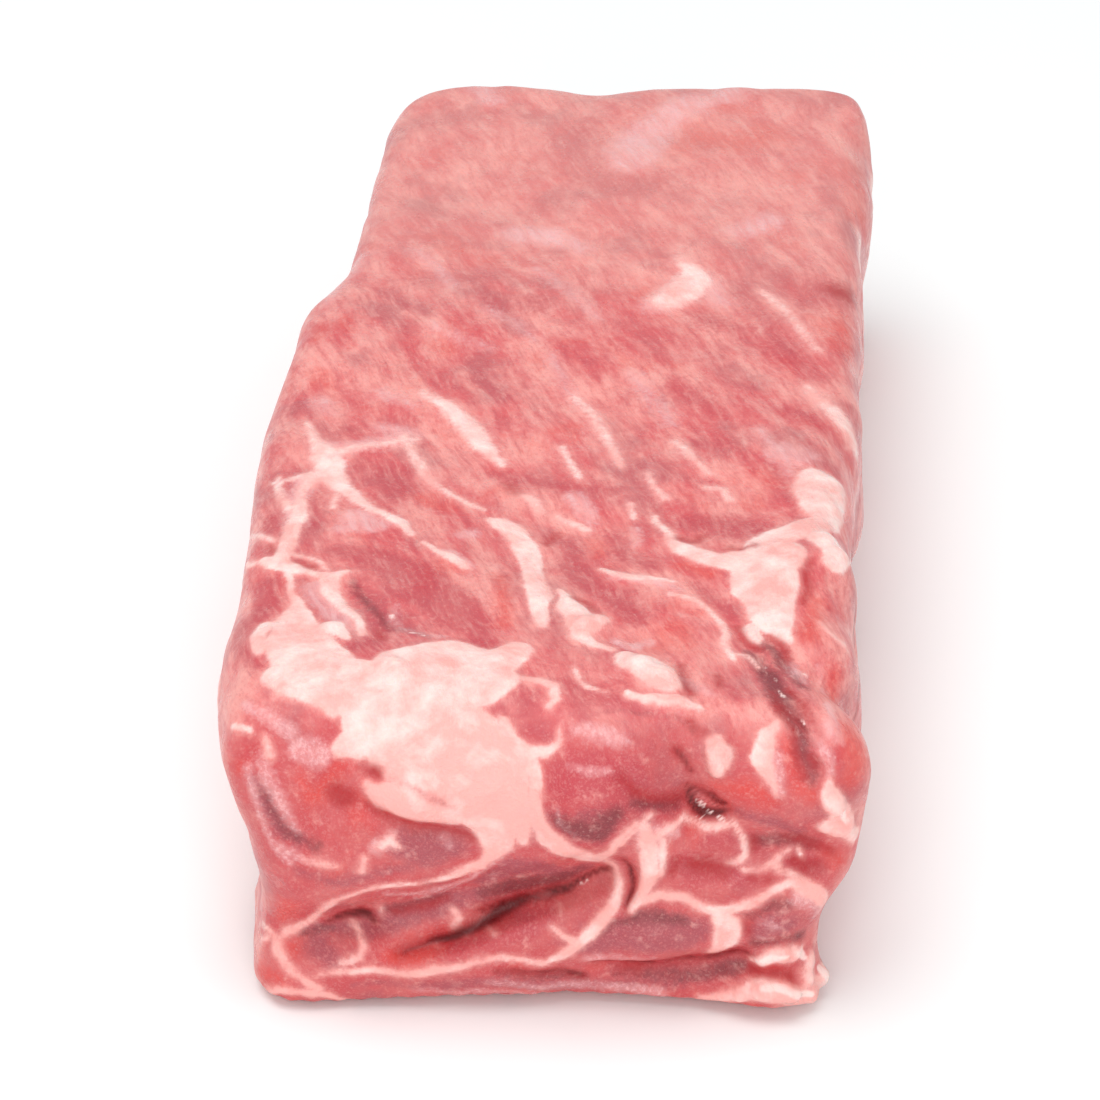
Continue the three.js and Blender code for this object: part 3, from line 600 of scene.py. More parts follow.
# Seams that open: the line, how wide, and how deep in millimetres.
NEAR_OPENINGS = [
    ("lid_cleft", 1.3, 3), ("cleft_fork", 0.9, 1.4), ("lid_pocket", 1.3, 1.8), ("lid_shade", 1.2, 0.9),
    ("tongue_shade", 1, 1.4), ("tongue_line", 0.7, 0.5), ("fat_hole", 1, 1.4), ("deep_red", 2.2, 1.2),
    ("ring_slit", 0.8, 1.2), ("foot_slit", 0.9, 2), ("cluster_pit", 1.4, 1.4),
    ("cluster_high", 1.1, 1), ("cluster_left", 0.9, 0.8), ("cluster_right", 1.2, 1.2),
    ("cluster_edge", 1.1, 1), ("cavity", 1.3, 1.6), ("cavity_rim", 0.9, 0.7),
    ("cavity_line", 0.6, 0.8), ("knob_shade", 1, 1.4), ("round_edge", 1.2, 0.9),
]
TOP_OPENINGS = [
    ("fork_cut", 0.6, 0.8), ("tail_dark", 1.2, 0.6), ("groove", 0.8, 0.7), ("channel", 1.3, 0.6),
    ("channel_twin", 0.9, 0.4), ("blob_shade", 0.9, 0.8), ("bay", 1, 0.5), ("crumb_edge", 0.7, 0.5),
    ("comma_edge", 0.7, 0.5), ("cap_notch", 0.9, 0.6),
]

# Muscles and lumps that swell out: (across, along or up), reach both ways, and rise.
NEAR_SWELLS = {
    "round_muscle": (9, 40, 7, 7, 2), "tongue": (-19, 39, 7, 2.8, 1.8), "lobe": (-33, 24, 9, 5, 1.4),
    "lower_muscle": (-2, 14, 9, 3.6, 1.4), "lower_left": (-30, 9, 8, 3, 1),
    "lens": (21, 14, 7, 3.6, 1.1), "right_lens": (39, 17, 4, 3, 0.8), "shoulder": (51, 49, 3, 5, 0.8),
    "corner": (50, 38, 3, 4, 0.9), "upper_lump": (30.5, 50, 2.4, 3.6, 0.8),
    "ledge": (43, 4, 6, 2.2, 1), "brow": (15, 53, 9, 3, 0.9), "cluster": (30, 25, 4, 2.6, 0.8),
    "cluster_top": (31, 32.6, 4, 2, 0.7), "band": (20, 5, 12, 1.8, 0.6),
}
TOP_SWELLS = {
    "trunk": (37, -80, 6, 12, 0.5), "knob": (47, -71, 4, 6, 0.6), "blob": (17.5, -112, 4.5, 5, 0.6),
    "crumb": (7, -98, 3.6, 4.6, 0.4), "left_muscle": (-24, -88, 12, 10, 0.6),
    "arc": (22, -96, 6, 9, 0.7), "patch": (45, -52, 5, 8, 0.4), "cap": (-17, -114, 7, 6, 0.6),
    "far_knob": (16, 26, 5, 6, 0.5),
}

# Lumps and notches of the right flank's near part: (y, z), reach both ways, and rise.
RIGHT_LUMPS = {
    "high": (-94, 46, 7, 12, 0.8), "notch": (-107, 48, 4, 11, -2), "low": (-120, 46, 6, 10, 0.9),
    "foot": (-132, 32, 7, 10, -1.5),
}

# Crumbs of fat: (across, along or up) and radius. They stand out by a share of it.
NEAR_CRUMBS = [
    (38, 10.3, 1.8), (41.2, 11.4, 2.1), (43.6, 12, 1.8), (46, 10.6, 1.4), (45.2, 7.6, 1.5),
    (47.6, 7.4, 2.2), (38.6, 4, 2), (42.6, 4, 2.1), (46.6, 3.6, 2.2), (34.8, 3, 1.5), (49, 41.4, 2.2),
    (50.6, 37.6, 2.4), (47.8, 37.4, 1.7), (30.4, 50.8, 2.2), (30.2, 47.6, 1.7), (26.9, 40.4, 0.9),
    (31, 36.8, 1), (2, 19.3, 0.8),
]
TOP_CRUMBS = [
    (3, -91, 1.5), (4.8, -94.6, 1.9), (6.4, -98.8, 2.4), (9, -97.4, 1.7), (6.4, -102.2, 1.8),
    (9, -104.8, 1.2), (14, -108.4, 1.8), (16.6, -111.6, 3.2), (20, -114, 3.2), (15.2, -120, 1.3),
    (18.6, -121.8, 1.3), (23, -122.2, 1.5), (46, -67.6, 2.8), (48, -72, 2.2), (34.6, -98.6, 1.5),
    (-36, -103, 2), (-24, -116, 3.4), (46.4, -111.6, 1.2), (43.6, -110.7, 1),
]

# The crumbs' height as a share of their radius.
NEAR_CRUMB_RISE = 0.62
TOP_CRUMB_RISE = 0.34

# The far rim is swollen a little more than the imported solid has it, in millimetres.
FAR_RISE = 1.1
FAR_RISE_REACH = 11.0

# How deep swellings reach into the slab from the chart's surface, and where the right
# flank begins and is in full, in millimetres in from its widest point.
SWELL_DEPTH = 9
FLANK_FROM = 16
FLANK_TO = 8

# The near and top strokes by kind. A kind's place in this table is part of the seed of its
# strokes on the hidden sides.
MARKS = {
    "fat": (NEAR_FAT, TOP_FAT),
    "film": (NEAR_FILM, TOP_FILM),
    "seam_shade": (NEAR_SEAM_SHADE, TOP_SEAM_SHADE),
    "plum": (NEAR_PLUM, {}),
    "scarlet": (NEAR_SCARLET, TOP_SCARLET),
    "painted_shade": (NEAR_PAINTED_SHADE, TOP_PAINTED_SHADE),
    "painted_glints": (NEAR_PAINTED_GLINTS, TOP_PAINTED_GLINTS),
    "deep": (NEAR_DEEP, TOP_DEEP),
    "blood": (NEAR_BLOOD, TOP_BLOOD),
}

# The hidden sides: the way each faces, the way it runs, how far along it strokes start on
# either side of its middle, how many times the count of strokes it has, and its own seed.
SIDES = (
    ((-1, 0, 0), (0, 1, 0), 124, 2, 4),
    ((1, 0, 0), (0, 1, 0), 124, 2, 5),
    ((0, 1, 0), (1, 0, 0), 48, 1, 3),
)

# What runs along them: a count of strokes, the span of their half-widths and the span of
# their lengths. Film has more and thinner strokes than fat.
SIDE_MARKS = {
    "fat": (9, (0.5, 2.2), (18, 60)),
    "film": (12, (0.6, 1.8), (12, 50)),
    "deep": (12, (1.2, 4), (10, 40)),
    # The thin dark seams of the hidden sides are painted shade.
    "seam_shade": (7, (0.3, 0.7), (8, 26)),
}

# Those strokes start between two heights, not too near the side's end, and keep off the
# foot and the top rim. They lean by a random tilt, and swing at each step that they take.
# Their width varies by a random share from step to step, and tapers like the middle part
# of half a sine wave. OUTSIDE is past every side.
SIDE_HEIGHTS = (5, 46)
START_LIMIT = 0.8
SIDE_FOOT = 1
SIDE_TOP = 50
SIDE_TILT = 0.22
WANDER_STEP = 3
WANDER_SWING = 0.16
WANDER_WIDTHS = (0.6, 1.2)
TAPER_FROM = 0.12
OUTSIDE = 300

# How far apart the points of a draped stroke are at most, and how far from a stroke's edge
# its distance is kept: for the marks, and for the openings.
DRAPE_STEP = 2.5
STROKE_REACH = 5.0
OPENING_REACH = 6.0

# The edges of the strokes wobble: (how far, size of the lumps, seed of each axis).
EDGE_WOBBLES = ((0.7, 4.5, (1, 2, 3)), (0.25, 1.7, (4, 5, 6)))

# Towards the far end the edges grow softer, by this gain between two places along the slab.
SOFT_GAIN = 1.6
SOFT_FROM = -75
SOFT_TO = -15

# Between two places along the slab the top is painted paler, a painted haze over its far part. Between two
# slants of the skin its fibres turn from lying along it to being cut across.
HAZE_FROM = 5
HAZE_TO = 65
CUT_FROM = 0.25
CUT_TO = 0.875

# Relief: the width of the edge of fat and of thin seams, how far film stands out and the strokes of
# painted shade in the clefts sink in, and fat's even part. Tables of lumps are (height, size, seed).
FAT_EDGE = 1.6
SEAM_EDGE = 1.2
FILM_RISE = 0.18
SEAM_SINK = 0.25
FAT_EVEN = 0.8
FAT_SWELLS = ((0.5, 6, 11),)
FAT_LUMPS = ((0.3, 3.2, 12),)
FINE_FIBRES = ((0.1, 1.8, 14),)
COARSE_FIBRES = ((0.12, 3, 15),)
BROAD_LUMPS = ((0.35, 12, 18), (0.25, 7, 16), (0.1, 3.2, 17))
FIBRE_STRETCH = 9

# Fine fibres fade out over this far to either side of the end of the lattice's near part.
FINE_FADE = 5

# The relief fades out below this height, and as the skin turns down to the underside.
FOOT_HEIGHT = 2.5
UNDERSIDE_FROM = 8 / 15
UNDERSIDE_TO = 13 / 15

# The grain's patterns sway by half of this to either side, in bends this far apart.
SWAY = 4
SWAY_SPACING = 15

# The noise of the relief repeats after this many lumps. It starts off its grid's corner.
NOISE_CELLS = 64
NOISE_START = 17.3

# Lattice units: half a millimetre across and up. Along the slab they are longer, as the
# picture shows the top foreshortened, and longer again past the near part, which is as
# long as NEAR_STRETCH says.
UNITS_ACROSS = 224
UNITS_UP = 112
UNITS_NEAR = 140
UNITS_FAR = 240
NEAR_STRETCH = 112.0

# Rounds of easing: after each wrap, of the directions that the relief moves along, and of
# the relief itself, by the least share everywhere and by the most in deep openings.
WRAP_ROUNDS = (60, 60, 24)
WAYS_ROUNDS = 14
SETTLE_ROUNDS = 8
SETTLE_LEAST = 0.1
SETTLE_MOST = 0.7


# --- Small tools. ---------------------------------------------------------------------


def linear(hexcode):
    """Turns an sRGB hex colour into linear values, with full alpha."""
    parts = [int(hexcode[i : i + 2], 16) / 255 for i in (1, 3, 5)]
    values = [c / 12.92 if c <= 0.04045 else ((c + 0.055) / 1.055) ** 2.4 for c in parts]
    return (*values, 1.0)


def colour(name, description, hexcode):
    """A colour that the user can change."""
    default = linear(hexcode)
    return FloatVectorProperty(
        name=name, description=description, subtype="COLOR", size=4, default=default
    )


def add(tree, kind, sockets=(), **settings):
    """Adds a node with its settings. sockets holds (input, value or output) pairs."""
    node = tree.nodes.new(kind)
    for name, value in settings.items():
        setattr(node, name, value)
    for key, value in sockets:
        if isinstance(value, bpy.types.NodeSocket):
            tree.links.new(value, node.inputs[key])
        else:
            node.inputs[key].default_value = value
    return node


def ramp(values, start, end):
    """0 up to the start, 1 from the end on, and straight between them."""
    return np.clip((values - start) / (end - start), 0, 1)


def hill(distance, reach):
    """1 in the middle, falling away like a bell over the reach."""
    return np.exp(-((distance / reach) ** 2))


def noise(points, size, seed):
    """Smooth random values from -1 to 1 at points in mm, with lumps of that size."""
    table = np.random.default_rng(seed).uniform(-1, 1, (NOISE_CELLS, NOISE_CELLS, NOISE_CELLS))
    cell = points / size + NOISE_START
    base = np.floor(cell).astype(int)
    part = cell - base
    part = part * part * (3 - 2 * part)
    total = np.zeros(len(points))
    for corner in itertools.product((0, 1), repeat=3):
        share = np.prod(np.where(corner, part, 1 - part), axis=1)
        i, j, k = ((base + corner) % NOISE_CELLS).T
        total += share * table[i, j, k]
    return total


def lumps(points, table):
    """The sum of the noises of a table of (height, size, seed) rows."""
    return sum(height * noise(points, size, seed) for height, size, seed in table)


def along_fibres(points):
    """The points turned and drawn in, so that muscle fibres run along the second axis."""
    c, s = math.cos(GRAIN_TURN), math.sin(GRAIN_TURN)
    turned = points @ np.array([[c, -s, 0], [s, c, 0], [0, 0, 1]])
    turned[:, 1] /= FIBRE_STRETCH
    return turned


# --- Strokes laid over the skin. ------------------------------------------------------


def sight_point(skin_tree, chart, across, along):
    """The point of the skin that a reading of a chart shows."""
    x, v = np.array([across, along]) + READING_SHIFT * (1, chart == "top")
    aim = np.array([x, NEAR_PLANE, v]) if chart == "near" else np.array([x, v, TOP_PLANE])
    hit = skin_tree.ray_cast(Vector(EYE), Vector(aim - EYE))[0]
    return np.array(hit) if hit else aim


def draped(skin_tree, chart, stroke):
    """A chart's stroke laid over the skin, as rows of x, y, z and half-width."""
    rows = []
    for start, end in zip(stroke, stroke[1:] or stroke):
        parts = max(1, math.ceil(math.dist(start[:2], end[:2]) / DRAPE_STEP))
        for t in np.arange(parts) / parts:
            across, along, half = (1 - t) * np.array(start) + t * np.array(end)
            rows.append([*sight_point(skin_tree, chart, across, along), half])
    rows.append([*sight_point(skin_tree, chart, *stroke[-1][:2]), stroke[-1][2]])
    return np.array(rows)


def distance_to(points, rows, reach):
    """Distance in mm from each point to a draped stroke's edge, below zero inside it."""
    result = np.full(len(points), reach)
    margin = reach + rows[:, 3].max()
    low, high = rows[:, :3].min(0) - margin, rows[:, :3].max(0) + margin
    near = np.flatnonzero(((points > low) & (points < high)).all(1))
    spots = points[near]
    best = result[near]
    for start, end in zip(rows, rows[1:]):
        run = end[:3] - start[:3]
        # The least length keeps a stroke of one point from dividing by zero.
        t = np.clip((spots - start[:3]) @ run / max(run @ run, 1e-6), 0, 1)
        away = np.linalg.norm(spots - start[:3] - t[:, None] * run, axis=1)
        best = np.minimum(best, away - start[3] - t * (end[3] - start[3]))
    result[near] = best
    return result


def nearest(points, strokes):
    """Distance in mm from each point to the edge of the nearest of the strokes."""
    result = np.full(len(points), STROKE_REACH)
    for rows in strokes:
        result = np.minimum(result, distance_to(points, rows, STROKE_REACH))
    return result


def wandering(rng, start, heading, length, half):
    """One stroke of a hidden side: it wanders along its heading and tapers at its ends."""
    spot, rows = np.array(start, float), []
    count = max(3, int(length / WANDER_STEP))
    for i in range(count + 1):
        taper = math.sin(math.pi * (TAPER_FROM + (1 - 2 * TAPER_FROM) * i / count))
        rows.append((*spot, half * taper * rng.uniform(*WANDER_WIDTHS)))
        heading += rng.normal(0, WANDER_SWING)
        spot = spot + WANDER_STEP * np.array([math.cos(heading), math.sin(heading)])
    return rows


def side_point(skin_tree, faces, runs, u, v):
    """The point of the skin at u along a side and v above the floor."""
    start = OUTSIDE * np.array(faces) + u * np.array(runs) + (0, 0, v)
    hit = skin_tree.ray_cast(Vector(start), -Vector(faces))[0]
    return np.array(hit) if hit else None


def side_strokes(skin_tree, kind, seed):
    """Strokes of one kind that run along the three sides that the picture doesn't show."""
    count, halves, lengths = SIDE_MARKS[kind]
    result = []
    for faces, runs, reach, times, own_seed in SIDES:
        rng = np.random.default_rng(seed + own_seed)
        for _ in range(count * times):
            start = rng.uniform(-reach, reach * START_LIMIT), rng.uniform(*SIDE_HEIGHTS)
            heading = rng.normal(0, SIDE_TILT)
            stroke = wandering(rng, start, heading, rng.uniform(*lengths), rng.uniform(*halves))
            rows = []
            for u, v, half in stroke:
                spot = side_point(skin_tree, faces, runs, u, v) if SIDE_FOOT < v < SIDE_TOP else None
                if spot is not None:
                    rows.append([*spot, half])
            if len(rows) > 1:
                result.append(np.array(rows))
    return result


# --- The skin's lattice. --------------------------------------------------------------


def lattice_cells():
    """Cells of the lattice box as (origin, size, first axis, second axis, flipped)."""
    x, y, z = UNITS_ACROSS, UNITS_NEAR + UNITS_FAR, UNITS_UP
    coarse = 8  # Cells of the underside, which doesn't show.
    # The faces of the box: the axis and the level that each is fixed at, its spans along
    # its two other axes with the cells' size as their step, those axes, and if it is flipped.
    sides = [
        (1, 0, (0, x, 1), (0, z, 1), 0, 2, False),
        (1, y, (0, x, 2), (0, z, 2), 0, 2, True),
        (0, 0, (0, y, 2), (0, z, 2), 1, 2, True),
        (0, x, (0, y, 2), (0, z, 2), 1, 2, False),
        (2, z, (0, x, 1), (0, UNITS_NEAR, 1), 0, 1, False),
        (2, z, (0, x, 2), (UNITS_NEAR, y, 2), 0, 1, False),
        (2, 0, (0, x, coarse), (0, y - coarse, coarse), 0, 1, True),
        (2, 0, (0, x, coarse // 2), (y - coarse, y, coarse // 2), 0, 1, True),
    ]
    for axis, level, span_u, span_v, u_axis, v_axis, flipped in sides:
        for u, v in itertools.product(range(*span_u), range(*span_v)):
            origin = [0, 0, 0]
            origin[axis], origin[u_axis], origin[v_axis] = level, u, v
            yield tuple(origin), span_u[2], u_axis, v_axis, flipped


def cell_rim(origin, size, u_axis, v_axis, flipped):
    """Lattice points round a cell's rim, one unit apart."""
    steps = [(i, 0) for i in range(size)] + [(size, i) for i in range(size)]
    steps += [(size - i, size) for i in range(size)] + [(0, size - i) for i in range(size)]
    rim = []
    for du, dv in steps:
        point = list(origin)
        point[u_axis] += du
        point[v_axis] += dv
        rim.append(tuple(point))
    return rim[:1] + rim[:0:-1] if flipped else rim


def lattice_mesh(name):
    """A box of cells, fine where the picture is sharp, with no gaps between sizes."""
    cells = [(cell_rim(*cell), cell[1]) for cell in lattice_cells()]
    corners = sorted({rim[k * size] for rim, size in cells for k in range(4)})
    index = {point: number for number, point in enumerate(corners)}
    faces = [[index[point] for point in rim if point in index] for rim, _ in cells]
    across, along, up = np.array(corners, float).T
    far = np.maximum(along - UNITS_NEAR, 0) / UNITS_FAR
    near = np.minimum(along, UNITS_NEAR) / UNITS_NEAR
    width, length, height = HIGH - LOW
    along = near * NEAR_STRETCH + far * (length - NEAR_STRETCH)
    spots = np.stack([across / UNITS_ACROSS * width, along, up / UNITS_UP * height], 1)
    mesh = bpy.data.meshes.new(name)
    mesh.from_pydata(((spots + LOW) * MM).tolist(), [], faces)
    return mesh


def positions(mesh):
    """The places of the vertices in mm, one row each."""
    flat = np.empty(len(mesh.vertices) * 3)
    mesh.vertices.foreach_get("co", flat)
    return flat.reshape(-1, 3) / MM


def place(mesh, points):
    """Moves the vertices to the points, which are in mm."""
    mesh.vertices.foreach_set("co", (points * MM).ravel())
    mesh.update()


def outward(mesh):
    """The normals of the vertices, one row each."""
    flat = np.empty(len(mesh.vertices) * 3)
    mesh.vertices.foreach_get("normal", flat)
    return flat.reshape(-1, 3)


def neighbours(mesh):
    """Both ends of each edge, either way round, and how many edges each vertex has."""
    ends = np.empty(len(mesh.edges) * 2, int)
    mesh.edges.foreach_get("vertices", ends)
    ends = ends.reshape(-1, 2)
    here, there = np.concatenate([ends, ends[:, ::-1]]).T
    return here, there, np.bincount(here)


def neighbour_mean(links, values):
    """The mean of the values at the far ends of each vertex's edges."""
    here, there, count = links
    return np.stack([np.bincount(here, values[there, axis]) for axis in range(3)], 1) / count[:, None]


def eased_ways(links, ways):
    """Directions of the vertices, evened out with their neighbours'."""
    for _ in range(WAYS_ROUNDS):
        ways = ways + neighbour_mean(links, ways)
        ways /= np.linalg.norm(ways, axis=1)[:, None]
    return ways


def settled(links, points, share):
    """The points moved towards their neighbours' mean by a share each, to smooth steep walls."""
    for _ in range(SETTLE_ROUNDS):
        points = points + share[:, None] * (neighbour_mean(links, points) - points)
    return points


def wrapped_skin():
    """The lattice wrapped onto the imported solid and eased, more than once, so that its
    cells spread evenly over the solid's folds and the solid's facets don't show."""
    mesh = lattice_mesh("skin_lattice")
    carrier = bpy.data.objects.new("skin_lattice", mesh)
    bpy.context.scene.collection.objects.link(carrier)
    for rounds in WRAP_ROUNDS:
        wrap = carrier.modifiers.new("wrap", "SHRINKWRAP")
        wrap.target = SOLID
        wrap.wrap_method = "NEAREST_SURFACEPOINT"
        ease = carrier.modifiers.new("ease", "SMOOTH")
        ease.factor = 0.5
        ease.iterations = rounds
    graph = bpy.context.evaluated_depsgraph_get()
    skin = bpy.data.meshes.new_from_object(carrier.evaluated_get(graph))
    bpy.data.objects.remove(carrier)
    bpy.data.meshes.remove(mesh)
    # Easing draws the skin in a little, so it is stretched back to the solid's box.
    points = positions(skin)
    low, high = points.min(0), points.max(0)
    place(skin, LOW + (points - low) / (high - low) * (HIGH - LOW))
    skin.name = "flap_skin"
    return skin


# --- Marks and relief. ----------------------------------------------------------------


def soft_inside(distance, width):
    """1 well inside a stroke, 0 outside it, easing over the width at its edge."""
    t = np.clip(0.5 - distance / width, 0, 1)
    return t * t * (3 - 2 * t)


def edge_wobble(points):
    """Small random shifts in mm that make the edges of the strokes uneven."""
    shift = np.zeros_like(points)
    for height, size, seeds in EDGE_WOBBLES:
        shift += height * np.stack([noise(points, size, seed) for seed in seeds], 1)
    return shift


def mark_fields(points, ways, wobble, skin_tree, seed):
    """What the material reads at each point: its distance in mm to the strokes of each kind, how far the
    top is painted paler by the painted haze, from 0 to -1, and how far it faces along the slab, from 0 to
    1."""
    along = points[:, 1]
    softness = 1 + SOFT_GAIN * ramp(along, SOFT_FROM, SOFT_TO)
    fields = {}
    for number, (kind, (near, top)) in enumerate(MARKS.items()):
        strokes = [draped(skin_tree, "near", stroke) for stroke in near.values()]
        strokes += [draped(skin_tree, "top", stroke) for stroke in top.values()]
        if kind in SIDE_MARKS:
            strokes += side_strokes(skin_tree, kind, seed + 10 * number)
        fields[kind] = nearest(points + wobble, strokes) / softness
    # A painted haze: the upward faces grow paler towards the far end.
    fields["painted_haze"] = -ramp(along, HAZE_FROM, HAZE_TO) * np.clip(ways[:, 2], 0, 1)
    fields["cut"] = ramp(np.abs(ways[:, 1]), CUT_FROM, CUT_TO)
    return fields


def crumb_domes(points, skin_tree):
    """How far the crumbs of fat stand out: each is a low dome, in millimetres."""
    rise = np.zeros(len(points))
    for chart, crumbs, share in (
        ("near", NEAR_CRUMBS, NEAR_CRUMB_RISE),
        ("top", TOP_CRUMBS, TOP_CRUMB_RISE),
    ):
        for across, along, radius in crumbs:
            away = np.linalg.norm(points - sight_point(skin_tree, chart, across, along), axis=1)
            dome = np.maximum(1 - (away / radius) ** 2, 0)
            rise = np.maximum(rise, share * radius * dome)
    return rise


def swelling(points, skin_tree):
    """How far the muscles and lumps swell out, in millimetres."""
    rise = np.zeros(len(points))
    for chart, table in (("near", NEAR_SWELLS), ("top", TOP_SWELLS)):
        for across, along, reach_u, reach_v, out in table.values():
            away = points - sight_point(skin_tree, chart, across, along)
            up, depth = (away[:, 2], away[:, 1]) if chart == "near" else (away[:, 1], away[:, 2])
            rise += out * hill(away[:, 0], reach_u) * hill(up, reach_v) * hill(depth, SWELL_DEPTH)
    flank = ramp(points[:, 0], HIGH[0] - FLANK_FROM, HIGH[0] - FLANK_TO)
    for y, z, reach_y, reach_z, out in RIGHT_LUMPS.values():
        rise += flank * out * hill(points[:, 1] - y, reach_y) * hill(points[:, 2] - z, reach_z)
    return rise + FAR_RISE * hill(points[:, 1] - HIGH[1], FAR_RISE_REACH)


def opening_depths(points, skin_tree):
    """How deep each point lies in the open seams and pits, in millimetres."""
    depths = np.zeros(len(points))
    for chart, openings, strokes in (
        ("near", NEAR_OPENINGS, NEAR_SEAM_SHADE | NEAR_BLOOD),
        ("top", TOP_OPENINGS, TOP_SEAM_SHADE | TOP_BLOOD),
    ):
        for name, width, depth in openings:
            away = distance_to(points, draped(skin_tree, chart, strokes[name]), OPENING_REACH)
            depths += depth * hill(np.maximum(away, 0), width)
    return depths


def free_share(points, ways):
    """1 on the open surface and 0 on the underside and its edge, which stay flat."""
    underside = ramp(-ways[:, 2], UNDERSIDE_FROM, UNDERSIDE_TO)
    return ramp(points[:, 2], 0, FOOT_HEIGHT) * (1 - underside)


def relief(points, ways, wobble, fields, fat_rise, skin_tree):
    """How far each point of the skin stands out along its normal, in millimetres."""
    fatty = soft_inside(fields["fat"], FAT_EDGE)
    rise = fatty * (fat_rise * (FAT_EVEN + lumps(points, FAT_SWELLS)) + lumps(points, FAT_LUMPS))
    rise += FILM_RISE * soft_inside(fields["film"], SEAM_EDGE)

    # Fine fibres are left out where the lattice is too coarse for them: far off and on the
    # sides.
    fibres = along_fibres(points)
    on_side = ramp(np.abs(ways[:, 0]), 1 / 3, 2 / 3)
    fine_end = LOW[1] + NEAR_STRETCH
    fine = (1 - on_side) * ramp(points[:, 1], fine_end + FINE_FADE, fine_end - FINE_FADE)
    rise += (1 - fatty) * (fine * lumps(fibres, FINE_FIBRES) + lumps(fibres, COARSE_FIBRES))
    rise += lumps(points, BROAD_LUMPS)
    rise -= SEAM_SINK * soft_inside(fields["seam_shade"], SEAM_EDGE)
    return rise + swelling(points, skin_tree) + crumb_domes(points + wobble, skin_tree)


# --- Materials. -----------------------------------------------------------------------


def flesh_patterns(tree, on_cut, fibre_spacing):
    """Noise patterns of the flesh by name, all bent by the fibres' slow sway."""
    spot = add(tree, "ShaderNodeTexCoord").outputs["Object"]
    mm = add(
        tree, "ShaderNodeVectorMath", [(0, spot), (1, [1 / MM] * 3)], operation="MULTIPLY"
    ).outputs[0]
    sway = add(tree, "ShaderNodeTexNoise", [("Vector", mm), ("Scale", 1 / SWAY_SPACING), ("Detail", 1)])
    off = add(
        tree,
        "ShaderNodeVectorMath",
        [(0, sway.outputs["Color"]), (1, (0.5, 0.5, 0.5))],
        operation="SUBTRACT",
    ).outputs[0]
    bent = add(
        tree, "ShaderNodeVectorMath", [(0, off), (1, [SWAY] * 3), (2, mm)], operation="MULTIPLY_ADD"
    ).outputs[0]

    # How far each is drawn out along the fibres, how far apart its lumps are in mm, its
    # detail and how rough that is.
    patterns = {}
    for name, drawn_out, spacing, detail, rough in (
        ("mottle", 2.6, 6.5, 4, 0.62),
        ("bruises", 1.4, 13, 3, 0.6),
        ("fibres", 9, fibre_spacing, 3, 0.62),
        ("grains", 1.8, 0.7, 2, 0.7),
        ("flecks", 2.6, 2.4, 4, 0.6),
        ("ragged", 1, 1.1, 3, 0.66),
        ("clouds", 1, 8, 4, 0.62),
        ("damp", 1, 6, 2, 0.5),
    ):
        grain = add(
            tree,
            "ShaderNodeMapping",
            [("Vector", bent), ("Rotation", (0, 0, GRAIN_TURN)), ("Scale", (1, drawn_out, 1))],
            vector_type="TEXTURE",
        ).outputs[0]
        patterns[name] = add(
            tree,
            "ShaderNodeTexNoise",
            [("Vector", grain), ("Scale", 1 / spacing), ("Detail", detail), ("Roughness", rough)],
        ).outputs["Fac"]

    # The cut end shows the fibres from their ends, as grains.
    patterns["fibres"] = add(
        tree,
        "ShaderNodeMix",
        [(0, on_cut), (2, patterns["fibres"]), (3, patterns["grains"])],
        data_type="FLOAT",
    ).outputs[0]
    return patterns


